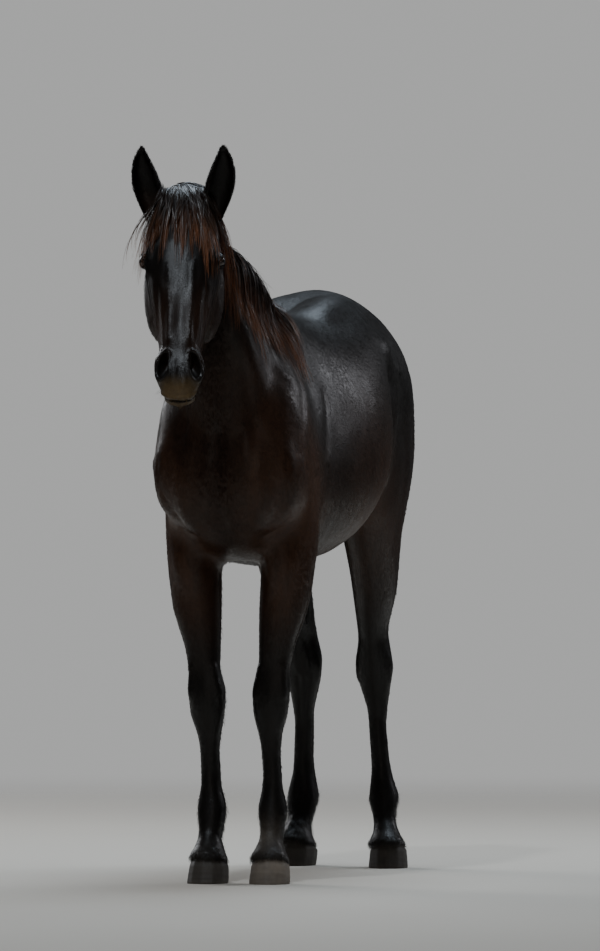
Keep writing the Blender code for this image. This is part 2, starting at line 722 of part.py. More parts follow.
def mane_locks(tree):
    """Long locks down the left of the neck, and a roach of short ones along the crest."""
    locks = []
    for i in range(16):
        t = 0.03 + 0.86 * i / 15
        length = 0.27 + 0.07 * math.sin(math.pi * t) + 0.02 * math.sin(5.1 * i)
        back = 0.25 + 0.1 * math.sin(2.3 * i)
        points = drape(tree, crest_point(t) + Vector((0.01, 0, 0)), (0.8, back, -0.5), length, 8, 0.007, 0.9)
        locks.append((points, 0.027, 0.012))
    for i in range(12):
        t = 0.02 + 0.86 * i / 11
        points = drape(tree, crest_point(t) + Vector((-0.012, 0, 0)), (1.0, 0.1, -0.2), 0.06, 4, 0.004, 0.5)
        locks.append((points, 0.032, 0.007))
    return locks


# start aside and behind the poll, heading aside and ahead, length
FORELOCK = (
    (0.000, -0.010, 0.02, 0.26),
    (0.022, -0.010, 0.16, 0.25),
    (-0.022, -0.010, -0.16, 0.24),
    (0.042, -0.005, 0.42, 0.22),
    (-0.042, -0.005, -0.42, 0.22),
    (0.056, 0.005, 0.75, 0.20),
    (-0.056, 0.005, -0.75, 0.20),
)

# side, how far aside and how far down the face the loose locks beside it reach
FORELOCK_WINGS = ((-1, 0.146, 0.262), (-1, 0.126, 0.205))


def forelock_locks(tree):
    locks = []
    for aside, behind, out, length in FORELOCK:
        start = head_point(aside, -0.005, behind)
        heading = head_point(out, 1.0, 0.0) - head_point(0, 0, 0)
        locks.append((drape(tree, start, heading, length, 8, 0.007, 0.25), 0.022, 0.0095))
    for side, spread, reach in FORELOCK_WINGS:
        points = []
        for t in np.linspace(0.0, 1.0, 7):
            aside = 0.045 + (spread - 0.045) * math.sin(math.pi / 2 * t)
            points.append(head_point(side * aside, 0.01 + (reach - 0.01) * t**1.3, 0.012 + 0.02 * t))
        locks.append((points, 0.013, 0.008))
    return locks


# along, up, aside, half width, half depth
TAIL = (
    (1.215, 1.450, 0.000, 0.030, 0.030),
    (1.280, 1.445, 0.002, 0.036, 0.036),
    (1.338, 1.405, 0.008, 0.043, 0.041),
    (1.374, 1.310, 0.018, 0.052, 0.045),
    (1.388, 1.170, 0.032, 0.060, 0.050),
    (1.384, 1.020, 0.046, 0.066, 0.054),
    (1.376, 0.880, 0.054, 0.064, 0.053),
    (1.370, 0.740, 0.056, 0.054, 0.047),
    (1.366, 0.620, 0.054, 0.042, 0.038),
    (1.366, 0.530, 0.052, 0.028, 0.026),
    (1.366, TAIL_END, 0.052, 0.010, 0.010),
)


def make_tail(skin, cutters, collection):
    """A full tail that arches off the dock and hangs, its outline rippled by its locks."""
    rows = smooth_rows(TAIL, 2)
    rings = []
    for i, (y, z, aside, half, depth) in enumerate(rows):
        ahead, behind = rows[min(i + 1, len(rows) - 1)], rows[max(i - 1, 0)]
        along = Vector((0, ahead[0] - behind[0], ahead[1] - behind[1])).normalized()
        out = Vector((1, 0, 0)).cross(along)
        ring = []
        section = oval(half, depth, depth)[::3]
        for k, (x, rise) in enumerate(section):
            ripple = 1 + 0.07 * math.sin(k * 2 * math.pi * 3 / len(section) + 0.3 * i)
            ring.append(Vector((aside + x * ripple, y, z)) + out * rise * ripple)
        rings.append(ring)
    bm = bmesh.new()
    loft(bm, rings)
    return cut_by(settle(add_object("tail", bm, collection)), skin, cutters)


def bore_nostrils(head, cutters):
    """A comma of a nostril on each side, hollowed into the muzzle."""
    for side in (1, -1):
        bm = bmesh.new()
        muscle(
            bm,
            head_point(side * 0.055, 0.482, 0.006),
            head_point(side * 0.050, 0.552, 0.026),
            (0.012, 0.021),
            segments=12,
            rings=8,
        )
        boolean(head, "DIFFERENCE", bm, cutters)


def material(name, colour, roughness):
    shade = bpy.data.materials.new(name)
    shade.use_nodes = True
    shade.diffuse_color = (*colour, 1.0)
    principled = shade.node_tree.nodes["Principled BSDF"]
    principled.inputs["Base Color"].default_value = (*colour, 1.0)
    principled.inputs["Roughness"].default_value = roughness
    principled.inputs["Metallic"].default_value = 0.0
    return shade


def finish(pieces):
    """Give each piece its material and its smooth shading, and stand the whole over the origin."""
    coat = material("dark_coat", (0.022, 0.015, 0.012), 0.42)
    long_hair = material("long_hair", (0.030, 0.017, 0.012), 0.5)
    horn = material("hoof_horn", (0.10, 0.085, 0.07), 0.6)
    eye = material("dark_eye", (0.010, 0.007, 0.006), 0.08)
    for piece in pieces:
        kinds = {"hoof": horn, "eye": eye, "mane": long_hair, "forelock": long_hair, "tail": long_hair}
        piece.data.materials.clear()
        piece.data.materials.append(kinds.get(piece.name.split("_")[0], coat))
        piece.data.transform(Matrix.Translation(-BOX_CENTRE))
        piece.data.set_sharp_from_angle(angle=math.radians(40))


def main():
    for obj in list(bpy.data.objects):
        bpy.data.objects.remove(obj, do_unlink=True)
    parts = bpy.data.collections.new("horse")
    cutters = bpy.data.collections.new("cutters")
    bpy.context.scene.collection.children.link(parts)
    bpy.context.scene.collection.children.link(cutters)

    flesh = make_flesh(parts)
    skin = copy_of(flesh, "skin")
    tree = BVHTree.FromObject(skin, bpy.context.evaluated_depsgraph_get())

    ears = [make_ear(side, parts) for side in (1, -1)]
    mane = make_hair("mane", mane_locks(tree), 760, tree, skin, cutters, parts)
    forelock = make_hair("forelock", forelock_locks(tree), 340, tree, skin, cutters, parts)
    tail = make_tail(skin, cutters, parts)

    pieces = part_flesh(flesh, cutters)
    head = pieces[0]
    bore_nostrils(head, cutters)
    for side, ear in zip((1, -1), ears):
        boolean(head, "DIFFERENCE", sphere(eye_place(side), EYE_RADIUS + GAP), cutters)
        keep_largest(head)
        cut_by(ear, head, cutters)
        cut_by(forelock, ear, cutters)
        cut_by(mane, ear, cutters)
    for lift in (4 * LIFT, LIFT, GAP):
        cut_by(mane, forelock, cutters, lift)
    bpy.data.objects.remove(skin, do_unlink=True)
    for side in (1, -1):
        pieces.append(make_eye(side, parts))
    for name in LEGS:
        pieces.append(make_hoof(name, parts))
    finish([*pieces, *ears, mane, forelock, tail])


main()
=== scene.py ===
import json
import math

import bmesh
import bpy
import numpy as np
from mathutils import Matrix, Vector
from mathutils.bvhtree import BVHTree

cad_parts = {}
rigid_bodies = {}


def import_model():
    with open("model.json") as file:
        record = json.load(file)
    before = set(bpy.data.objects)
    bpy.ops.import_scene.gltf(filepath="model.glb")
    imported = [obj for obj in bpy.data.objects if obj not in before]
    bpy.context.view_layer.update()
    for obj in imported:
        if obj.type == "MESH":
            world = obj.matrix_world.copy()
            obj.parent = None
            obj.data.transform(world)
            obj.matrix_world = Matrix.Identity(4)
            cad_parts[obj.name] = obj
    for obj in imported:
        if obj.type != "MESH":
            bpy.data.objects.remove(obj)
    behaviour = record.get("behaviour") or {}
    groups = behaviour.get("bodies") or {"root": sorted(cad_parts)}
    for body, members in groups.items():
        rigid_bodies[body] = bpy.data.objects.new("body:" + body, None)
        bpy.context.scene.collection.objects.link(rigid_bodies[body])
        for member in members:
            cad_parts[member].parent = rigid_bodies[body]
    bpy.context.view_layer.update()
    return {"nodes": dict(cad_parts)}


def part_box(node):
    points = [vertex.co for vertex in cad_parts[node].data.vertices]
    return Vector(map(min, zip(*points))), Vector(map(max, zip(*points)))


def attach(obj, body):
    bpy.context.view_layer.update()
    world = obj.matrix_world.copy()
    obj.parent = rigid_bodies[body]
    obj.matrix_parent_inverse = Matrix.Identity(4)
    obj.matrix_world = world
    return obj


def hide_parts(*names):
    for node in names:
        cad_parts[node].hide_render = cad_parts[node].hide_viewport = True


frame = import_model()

scene = bpy.context.scene
chance = np.random.default_rng(20)


# small helpers
def pick(*objects):
    for obj in bpy.data.objects:
        obj.select_set(False)
    for obj in objects:
        obj.select_set(True)
    bpy.context.view_layer.objects.active = objects[0]


def applyAll(obj):
    pick(obj)
    for modifier in list(obj.modifiers):
        bpy.ops.object.modifier_apply(modifier=modifier.name)


def smoothStep(low, high, value):
    t = np.clip((value - low) / (high - low), 0.0, 1.0)
    return t * t * (3.0 - 2.0 * t)


def unit(vectors):
    return vectors / np.maximum(np.linalg.norm(vectors, axis=-1, keepdims=True), 1e-9)


def cornersOf(obj):
    places = np.empty(len(obj.data.vertices) * 3, np.float32)
    obj.data.vertices.foreach_get("co", places)
    return places.reshape(-1, 3).astype(float)


def moveCorners(obj, places):
    obj.data.vertices.foreach_set("co", places.astype(np.float32).ravel())
    obj.data.update()


def normalsOf(obj):
    normals = np.empty(len(obj.data.vertices) * 3, np.float32)
    obj.data.vertex_normals.foreach_get("vector", normals)
    return normals.reshape(-1, 3).astype(float)


def edgesOf(obj):
    ends = np.empty(len(obj.data.edges) * 2, np.int32)
    obj.data.edges.foreach_get("vertices", ends)
    return ends.reshape(-1, 2)


def trianglesOf(obj):
    obj.data.calc_loop_triangles()
    faces = np.empty(len(obj.data.loop_triangles) * 3, np.int32)
    loops = np.empty(len(obj.data.loop_triangles) * 3, np.int32)
    obj.data.loop_triangles.foreach_get("vertices", faces)
    obj.data.loop_triangles.foreach_get("loops", loops)
    return faces.reshape(-1, 3), loops.reshape(-1, 3)


def setValues(obj, name, values):
    kind = "FLOAT" if values.ndim == 1 else "FLOAT_VECTOR"
    held = obj.data.attributes.new(name, kind, "POINT")
    held.data.foreach_set("value" if values.ndim == 1 else "vector", values.astype(np.float32).ravel())


def paintAll(obj, paint):
    obj.data.materials.clear()
    obj.data.materials.append(paint)
    obj.data.polygons.foreach_set("material_index", np.zeros(len(obj.data.polygons), np.int32))


def nodeCopy(node, name, grow):
    source = frame["nodes"][node]
    copy = bpy.data.objects.new(name, source.data.copy())
    scene.collection.objects.link(copy)
    pick(copy)
    bpy.ops.object.mode_set(mode="EDIT")
    bpy.ops.mesh.select_all(action="SELECT")
    bpy.ops.mesh.remove_doubles(threshold=0.00002)
    bpy.ops.object.mode_set(mode="OBJECT")
    if grow:
        swell = copy.modifiers.new("swell", "DISPLACE")
        swell.strength = grow
        swell.mid_level = 0.0
        applyAll(copy)
    return copy


def keepLargest(obj):
    mesh = bmesh.new()
    mesh.from_mesh(obj.data)
    todo, islands = set(mesh.verts), []
    while todo:
        island, front = [], [todo.pop()]
        while front:
            corner = front.pop()
            island.append(corner)
            for edge in corner.link_edges:
                other = edge.other_vert(corner)
                if other in todo:
                    todo.discard(other)
                    front.append(other)
        islands.append(island)
    islands.sort(key=len)
    for island in islands[:-1]:
        bmesh.ops.delete(mesh, geom=island, context="VERTS")
    mesh.to_mesh(obj.data)
    mesh.free()


# where the head is and how it is turned
headPlace = {"poll": (-0.034, -0.845, 1.838), "pitch": 25.0, "yaw": 10.9}
pitch, yaw = math.radians(headPlace["pitch"]), math.radians(headPlace["yaw"])
poll = np.array(headPlace["poll"])
headLeft = np.array((math.cos(yaw), math.sin(yaw), 0.0))
headForward = np.array((math.sin(yaw), -math.cos(yaw), 0.0))
headDown = headForward * math.sin(pitch) - np.array((0.0, 0.0, math.cos(pitch)))
headBack = -headForward * math.cos(pitch) - np.array((0.0, 0.0, math.sin(pitch)))
headAxes = np.array((headLeft, headDown, headBack))


def onHead(aside, along, behind):
    return poll + headLeft * aside + headDown * along + headBack * behind


def onBody(aside, along, up):
    return np.array((aside, along, up))


def headPart(places):
    return (places - poll) @ headAxes.T


def isHead(places):
    return smoothStep(-0.66, -0.72, places[:, 1]) * smoothStep(1.10, 1.16, places[:, 2])


# camera
view = {"place": (6.6932, -27.5628, 1.126), "target": (0.1566, -0.3364, 1.078), "lens": 400.66, "sensor": 36.0}
bpy.ops.object.camera_add(location=view["place"])
camera = bpy.context.object
camera.data.lens = view["lens"]
camera.data.sensor_width = view["sensor"]
camera.data.clip_end = 400.0
camera.rotation_mode = "QUATERNION"
camera.rotation_quaternion = (Vector(view["target"]) - Vector(view["place"])).to_track_quat("-Z", "Y")
scene.camera = camera

# studio
studio = {
    "floorRadius": 30.0,
    "floorFade": (3.5, 9.5),  # the floor thins out into the background between these radii
    "floorColour": (0.64, 0.585, 0.51, 1.0),
    "backColour": (0.66, 0.665, 0.66, 1.0),
    "backStrength": 0.66,
    "skyColour": (0.88, 0.90, 0.92, 1.0),
    "skyStrength": 0.07,
}
lamps = {
    "overhead": {"place": (0.4, 2.2, 5.6), "size": 3.4, "power": 235.0, "colour": (0.74, 0.87, 1.0)},
    "aboveFace": {"place": (-0.2, -4.6, 6.6), "size": 0.45, "power": 140.0, "colour": (0.84, 0.92, 1.0)},
    "front": {"place": (3.0, -10.0, 3.0), "size": 4.0, "power": 28.0, "colour": (1.0, 0.90, 0.80)},
    "leftSide": {"place": (5.4, 6.0, 4.4), "size": 1.8, "power": 78.0, "colour": (0.93, 0.94, 1.0)},
    "rightBack": {"place": (-6.0, 5.0, 4.5), "size": 4.0, "power": 260.0, "colour": (0.95, 0.97, 1.0)},
}
bpy.ops.mesh.primitive_circle_add(vertices=96, radius=studio["floorRadius"], fill_type="NGON", location=(0, 0, 0))
floor = bpy.context.object
floor.name = "floor"
floorPaint = bpy.data.materials.new("paleFloor")
floorPaint.use_nodes = True
nodes, links = floorPaint.node_tree.nodes, floorPaint.node_tree.links
floorPlace = nodes.new("ShaderNodeTexCoord")
speckle = nodes.new("ShaderNodeTexNoise")
speckle.inputs["Scale"].default_value = 1.2
tone = nodes.new("ShaderNodeMix")
tone.data_type = "RGBA"
tone.inputs["A"].default_value = studio["floorColour"]
tone.inputs["B"].default_value = tuple(0.96 * c for c in studio["floorColour"][:3]) + (1.0,)
distance = nodes.new("ShaderNodeVectorMath")
distance.operation = "LENGTH"
fade = nodes.new("ShaderNodeMapRange")
fade.interpolation_type = "SMOOTHSTEP"
fade.inputs["From Min"].default_value, fade.inputs["From Max"].default_value = studio["floorFade"]
fade.inputs["To Min"].default_value, fade.inputs["To Max"].default_value = 1.0, 0.0
links.new(floorPlace.outputs["Object"], distance.inputs[0])
links.new(distance.outputs["Value"], fade.inputs["Value"])
links.new(fade.outputs["Result"], nodes["Principled BSDF"].inputs["Alpha"])
links.new(floorPlace.outputs["Object"], speckle.inputs["Vector"])
links.new(speckle.outputs["Fac"], tone.inputs["Factor"])
links.new(tone.outputs["Result"], nodes["Principled BSDF"].inputs["Base Color"])
nodes["Principled BSDF"].inputs["Roughness"].default_value = 0.9
floor.data.materials.append(floorPaint)
world = bpy.data.worlds.new("studio")
world.use_nodes = True
nodes, links = world.node_tree.nodes, world.node_tree.links
sky = nodes["Background"]
sky.inputs["Color"].default_value = studio["skyColour"]
sky.inputs["Strength"].default_value = studio["skyStrength"]
back = nodes.new("ShaderNodeBackground")
back.inputs["Color"].default_value = studio["backColour"]
back.inputs["Strength"].default_value = studio["backStrength"]
seen = nodes.new("ShaderNodeLightPath")
either = nodes.new("ShaderNodeMixShader")
links.new(seen.outputs["Is Camera Ray"], either.inputs[0])
links.new(sky.outputs[0], either.inputs[1])
links.new(back.outputs[0], either.inputs[2])
links.new(either.outputs[0], nodes["World Output"].inputs["Surface"])
scene.world = world
for lampName, lamp in lamps.items():
    bpy.ops.object.light_add(type="AREA", location=lamp["place"])
    light = bpy.context.object
    light.name = lampName
    light.data.shape = "DISK"
    light.data.size = lamp["size"]
    light.data.energy = lamp["power"]
    light.data.color = lamp["colour"]
    aim = Vector((0, 0, 1.1)) - Vector(lamp["place"])
    light.rotation_euler = aim.to_track_quat("-Z", "Y").to_euler()
print("studio ready")

# the skin: copies of the flesh, fused and evened out
fleshNodes = [
    "trunk", "neck", "head",
    "foreleg_left_upper", "foreleg_left_lower", "foreleg_right_upper", "foreleg_right_lower",
    "hindleg_left_upper", "hindleg_left_lower", "hindleg_right_upper", "hindleg_right_lower",
]
skinShape = {
    "voxel": 0.0052,  # size of the cells that fuse the flesh
    "grow": 0.0005,
    "earGrow": 0.0019,
    "depth": 0.0018,  # how far the skin lies inside the coat
    "trunkRounds": 80,
    "legRounds": 24,
    "headRounds": 10,
    "earRounds": 5,
    "faces": 64000,
}
eyeShape = {"radius": 0.0205, "lidHeight": 0.0030, "long": 60.0, "high": 33.0, "low": 26.0, "tilt": 24.0}
eyeMiddles = {}
for side, node in ((1, "eye_left"), (-1, "eye_right")):
    low, high = (np.array(c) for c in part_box(node))
    eyeMiddles[side] = (low + high) / 2

parts = [nodeCopy(node, "flesh", skinShape["grow"]) for node in fleshNodes]
parts += [nodeCopy(node, "flesh", skinShape["earGrow"]) for node in ("ear_left", "ear_right")]
for side in (1, -1):
    socket = eyeShape["radius"] + 0.0012
    bpy.ops.mesh.primitive_ico_sphere_add(subdivisions=4, radius=socket, location=eyeMiddles[side])
    pick(bpy.context.object)
    bpy.ops.object.transform_apply(location=True)
    parts.append(bpy.context.object)
pick(*parts)
bpy.ops.object.join()
skin = bpy.context.object
skin.name = "skin"
fused = skin.modifiers.new("fuse", "REMESH")
fused.mode = "VOXEL"
fused.voxel_size = skinShape["voxel"]
applyAll(skin)
keepLargest(skin)
print("flesh fused:", len(skin.data.vertices), "corners")

earMiddles = {}
for side, node in ((1, "ear_left"), (-1, "ear_right")):
    low, high = (np.array(c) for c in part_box(node))
    earMiddles[side] = (low, high)


def isEar(places):
    found = np.zeros(len(places))
    for low, high in earMiddles.values():
        inside = np.all((places[:, :2] > low[:2] - 0.006) & (places[:, :2] < high[:2] + 0.006), axis=1)
        found = np.maximum(found, inside * smoothStep(1.80, 1.84, places[:, 2]))
    return found


def evenOut(obj):
    places, ends = cornersOf(obj), edgesOf(obj)
    size = len(places)
    head = isHead(places)
    leg = smoothStep(0.98, 0.80, places[:, 2]) * (1.0 - head)
    rounds = skinShape["trunkRounds"] + (skinShape["legRounds"] - skinShape["trunkRounds"]) * leg
    rounds += (skinShape["headRounds"] - rounds) * head
    rounds += (skinShape["earRounds"] - rounds) * isEar(places)
    count = np.bincount(ends.ravel(), minlength=size)[:, None]

    def soften(field):
        for step in range(skinShape["trunkRounds"]):
            pull = 0.6 * np.clip(rounds - step, 0.0, 1.0)[:, None]
            total = np.stack([
                np.bincount(ends[:, 0], field[ends[:, 1], k], size)
                + np.bincount(ends[:, 1], field[ends[:, 0], k], size)
                for k in range(3)
            ], axis=1)
            field = field + pull * (total / count - field)
        return field

    soft = soften(places)
    moveCorners(obj, soft + soften(places - soft))
    inwards = skinShape["depth"] + (0.0013 - skinShape["depth"]) * isEar(places)
    moveCorners(obj, cornersOf(obj) - normalsOf(obj) * inwards[:, None])


evenOut(skin)
pick(skin)
bpy.ops.object.duplicate()
fineSkin = bpy.context.object
fineSkin.name = "fineSkin"
thin = skin.modifiers.new("thin", "DECIMATE")
thin.ratio = skinShape["faces"] / len(trianglesOf(skin)[0])
applyAll(skin)


def divideWhere(obj, chosen):
    pick(obj)
    bpy.ops.object.mode_set(mode="EDIT")
    bpy.ops.mesh.select_mode(type="FACE")
    bpy.ops.mesh.select_all(action="DESELECT")
    mesh = bmesh.from_edit_mesh(obj.data)
    middles = np.array([face.calc_center_median() for face in mesh.faces])
    wanted = chosen(middles)
    for face, yes in zip(mesh.faces, wanted):
        face.select = bool(yes)
    bmesh.update_edit_mesh(obj.data)
    bpy.ops.mesh.subdivide(number_cuts=1, smoothness=0.0)
    bpy.ops.mesh.select_all(action="SELECT")
    bpy.ops.mesh.quads_convert_to_tris()
    bpy.ops.object.mode_set(mode="OBJECT")


def nearEyes(places, reach):
    return np.min([np.linalg.norm(places - eyeMiddles[side], axis=1) for side in (1, -1)], axis=0) < reach


def nearNostrils(places, reach):
    own = headPart(places)
    own[:, 0] = abs(own[:, 0])
    return np.linalg.norm((own - (0.055, 0.520, 0.020)) * (1.0, 0.8, 1.0), axis=1) < reach


divideWhere(skin, lambda p: (isHead(p) > 0.4) | (p[:, 2] < 0.74))
divideWhere(
    skin,
    lambda p: nearEyes(p, 0.040) | nearNostrils(p, 0.045) | ((headPart(p)[:, 1] > 0.56) & (isHead(p) > 0.5)),
)
divideWhere(skin, lambda p: nearEyes(p, 0.031) | nearNostrils(p, 0.032))
wrap = skin.modifiers.new("wrap", "SHRINKWRAP")
wrap.target = fineSkin
wrap.wrap_method = "NEAREST_SURFACEPOINT"
applyAll(skin)
print("skin:", len(trianglesOf(skin)[0]), "triangles")

# muscles, veins, tendons and the folds of the face, as brush strokes: points, radius, height
# places on the head are aside, along and behind; on the body left, along and up; each is made on both sides
mouthLine = (
    (0.050, 0.515, 0.100), (0.048, 0.540, 0.092), (0.044, 0.562, 0.082),
    (0.036, 0.583, 0.068), (0.020, 0.597, 0.056), (0.0, 0.601, 0.053),
)
headStrokes = (
    (((0.086, 0.236, 0.058), (0.080, 0.300, 0.070), (0.070, 0.372, 0.080)), 0.013, 0.0034),  # facial crest
    (((0.052, 0.150, 0.004), (0.074, 0.178, 0.016), (0.084, 0.205, 0.020)), 0.011, 0.0030),  # brow
    (((0.062, 0.118, 0.024), (0.070, 0.140, 0.034)), 0.024, -0.0052),  # hollow over the eye
    (((0.030, 0.230, 0.002), (0.027, 0.340, 0.006), (0.026, 0.440, 0.010)), 0.010, 0.0020),  # nose bone
    (((0.055, 0.290, 0.028), (0.048, 0.390, 0.038), (0.044, 0.450, 0.040)), 0.018, -0.0036),  # hollow beside it
    (((0.074, 0.262, 0.050), (0.060, 0.330, 0.052), (0.052, 0.400, 0.056)), 0.0038, 0.0014),  # vein
    (((0.060, 0.330, 0.052), (0.064, 0.380, 0.084), (0.060, 0.410, 0.120)), 0.0036, 0.0012),
    (((0.066, 0.376, 0.084), (0.056, 0.440, 0.086), (0.050, 0.480, 0.082)), 0.0036, 0.0011),
    (((0.076, 0.060, 0.120), (0.084, 0.160, 0.190), (0.074, 0.300, 0.226), (0.052, 0.400, 0.210)), 0.016, 0.0022),
    (((0.086, 0.090, 0.100), (0.084, 0.110, 0.160)), 0.016, -0.0030),  # behind the jaw
    (((0.040, 0.000, 0.020), (0.058, 0.070, 0.028), (0.070, 0.120, 0.060)), 0.012, 0.0022),
    (((0.036, 0.572, 0.056), (0.022, 0.590, 0.044), (0.0, 0.596, 0.040)), 0.0085, 0.0030),  # edge of the upper lip
    (((0.036, 0.582, 0.084), (0.020, 0.600, 0.071), (0.0, 0.606, 0.067)), 0.0095, 0.0050),  # lower lip
    (((0.036, 0.556, 0.108), (0.022, 0.584, 0.100), (0.0, 0.590, 0.098)), 0.012, 0.0030),  # chin
    (mouthLine, 0.0042, -0.0072),
    (((0.016, 0.500, -0.004), (0.018, 0.545, 0.010), (0.010, 0.575, 0.026)), 0.012, 0.0018),
    (((0.0, 0.530, 0.000), (0.0, 0.575, 0.020), (0.0, 0.596, 0.050)), 0.0060, -0.0016),
    (((0.058, 0.480, 0.050), (0.056, 0.520, 0.062), (0.048, 0.552, 0.072)), 0.0050, -0.0018),
    (((0.052, 0.500, 0.074), (0.050, 0.536, 0.080)), 0.0040, -0.0012),
)
bodyStrokes = (
    (((0.10, -0.24, 1.50), (0.17, -0.38, 1.30), (0.19, -0.50, 1.12)), 0.030, 0.0060),  # shoulder blade
    (((0.19, -0.50, 1.10), (0.205, -0.44, 1.02)), 0.036, 0.0060),
    (((0.20, -0.14, 1.30), (0.20, -0.24, 1.12), (0.17, -0.30, 0.98)), 0.018, -0.0050),  # behind the shoulder
    (((0.20, -0.34, 1.22), (0.20, -0.36, 1.08), (0.18, -0.36, 0.96)), 0.014, -0.0036),  # triceps
    # jugular groove
    (((0.075, -0.76, 1.50), (0.10, -0.66, 1.34), (0.10, -0.60, 1.20), (0.08, -0.58, 1.10)), 0.022, -0.0055),
    (((0.10, -0.60, 1.46), (0.13, -0.50, 1.34), (0.15, -0.44, 1.24)), 0.030, -0.0022),
    (((0.06, -0.66, 1.62), (0.09, -0.50, 1.50), (0.11, -0.36, 1.44)), 0.030, 0.0040),
    (((0.08, -0.59, 1.16), (0.10, -0.575, 1.04), (0.085, -0.545, 0.94)), 0.042, 0.0070),  # breast
    (((0.0, -0.60, 1.20), (0.0, -0.60, 1.06), (0.0, -0.56, 0.94)), 0.018, -0.0100),  # between the breasts
    (((0.17, -0.56, 1.12), (0.16, -0.55, 1.00), (0.13, -0.53, 0.93)), 0.014, -0.0050),
    (((0.15, -0.48, 0.93), (0.10, -0.50, 0.90)), 0.012, -0.0040),
    (((0.24, 0.04, 1.28), (0.255, 0.00, 1.12), (0.22, -0.02, 0.96)), 0.016, 0.0016),  # ribs
    (((0.24, 0.12, 1.28), (0.262, 0.09, 1.12), (0.23, 0.07, 0.95)), 0.016, 0.0017),
    (((0.24, 0.20, 1.27), (0.264, 0.18, 1.12), (0.23, 0.16, 0.96)), 0.016, 0.0016),
    (((0.23, 0.28, 1.26), (0.258, 0.27, 1.12), (0.22, 0.25, 0.98)), 0.016, 0.0012),
    # hollow of the flank
    (((0.235, 0.41, 1.32), (0.25, 0.40, 1.18), (0.235, 0.37, 1.06), (0.20, 0.35, 0.97)), 0.072, -0.0150),
    (((0.235, 0.50, 1.37), (0.235, 0.49, 1.22), (0.22, 0.45, 1.06)), 0.022, 0.0045),  # front edge of the thigh
    (((0.20, 0.43, 1.42), (0.225, 0.52, 1.37)), 0.045, 0.0040),  # point of the hip
    (((0.21, 0.40, 1.02), (0.19, 0.37, 0.94), (0.15, 0.35, 0.89)), 0.020, -0.0060),  # fold of the flank
    (((0.20, 0.56, 1.34), (0.20, 0.62, 1.16), (0.18, 0.60, 0.98)), 0.040, -0.0034),
    (((0.15, 0.74, 1.36), (0.165, 0.74, 1.16), (0.14, 0.68, 0.94), (0.12, 0.66, 0.84)), 0.030, -0.0050),
    (((0.06, 0.30, 1.52), (0.08, 0.45, 1.53)), 0.040, 0.0030),
    (((0.0, 0.10, 1.50), (0.0, 0.35, 1.55), (0.0, 0.60, 1.56)), 0.014, -0.0040),  # along the spine
    (((0.20, -0.10, 0.92), (0.19, 0.06, 0.885), (0.16, 0.22, 0.875)), 0.0055, 0.0022),  # vein under the belly
    (((0.09, -0.70, 1.30), (0.13, -0.60, 1.16)), 0.005, 0.0016),
)


def strokes(obj, table, place):
    places, normals = cornersOf(obj), normalsOf(obj)
    surface = BVHTree.FromObject(obj, bpy.context.evaluated_depsgraph_get())
    for points, radius, height in table:
        for side in ((1, -1) if points[0][0] else (1,)):
            line = [place(side * p[0], p[1], p[2]) for p in points]
            line = np.array([surface.find_nearest(Vector(p))[0] for p in line])
            low, high = line.min(axis=0) - radius, line.max(axis=0) + radius
            near = np.nonzero(np.all((places > low) & (places < high), axis=1))[0]
            if not len(near):
                continue
            best = np.full(len(near), 9.0)
            for a, b in zip(line[:-1], line[1:]):
                t = np.clip(((places[near] - a) @ (b - a)) / ((b - a) @ (b - a)), 0.0, 1.0)
                best = np.minimum(best, np.linalg.norm(places[near] - a - t[:, None] * (b - a), axis=1))
            fall = np.clip(1.0 - (best / radius) ** 2, 0.0, 1.0) ** 2
            places[near] += normals[near] * (height * fall)[:, None]
    moveCorners(obj, places)


strokes(skin, headStrokes, onHead)
strokes(skin, bodyStrokes, onBody)

# tendons, joints and hoof heads along each leg: height, share of the depth from the front, radius, lift
legStrokes = {
    "foreleg": (
        ((0.50, 0.62), (0.36, 0.60), (0.20, 0.58), 0.010, -0.0036),
        ((0.57, 0.10), (0.53, 0.10), (0.50, 0.10), 0.020, 0.0025),
        ((0.82, 0.50), (0.72, 0.52), (0.62, 0.55), 0.012, -0.0030),
        ((0.15, 0.80), (0.13, 0.90), (0.12, 0.92), 0.012, 0.0030),
    ),
    "hindleg": (
        ((0.50, 0.55), (0.38, 0.56), (0.22, 0.56), 0.011, -0.0038),
        ((0.86, 0.66), (0.76, 0.66), (0.67, 0.70), 0.015, -0.0070),
        ((0.58, 0.30), (0.55, 0.34), (0.52, 0.38), 0.016, 0.0026),
        ((0.15, 0.80), (0.13, 0.90), (0.12, 0.92), 0.012, 0.0030),
    ),
}
legNames = ("foreleg_left", "foreleg_right", "hindleg_left", "hindleg_right")


def legBox(name):
    low, high = (np.array(c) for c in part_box(name + "_lower"))
    lowUp, highUp = (np.array(c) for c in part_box(name + "_upper"))
    return np.minimum(low, lowUp), np.maximum(high, highUp)


def legSlice(places, name, height):
    low, high = legBox(name)
    near = abs(places[:, 2] - height) < 0.008
    near &= np.all((places[:, :2] > low[:2] - 0.02) & (places[:, :2] < high[:2] + 0.02), axis=1)
    near &= places[:, 0] * (1 if "left" in name else -1) > 0.0
    return places[near].min(axis=0), places[near].max(axis=0)


places = cornersOf(skin)
for name in legNames:
    for row in legStrokes[name.split("_")[0]]:
        *spots, radius, lift = row
        for side in (1, -1):
            line = []
            for height, share in spots:
                low, high = legSlice(places, name, height)
                aside = (low[0] + high[0]) / 2 + side * (high[0] - low[0]) * 0.45
                line.append((aside, low[1] + (high[1] - low[1]) * share, height))
            strokes(skin, ((line, radius, lift),), onBody)
print("muscles and veins shaped")


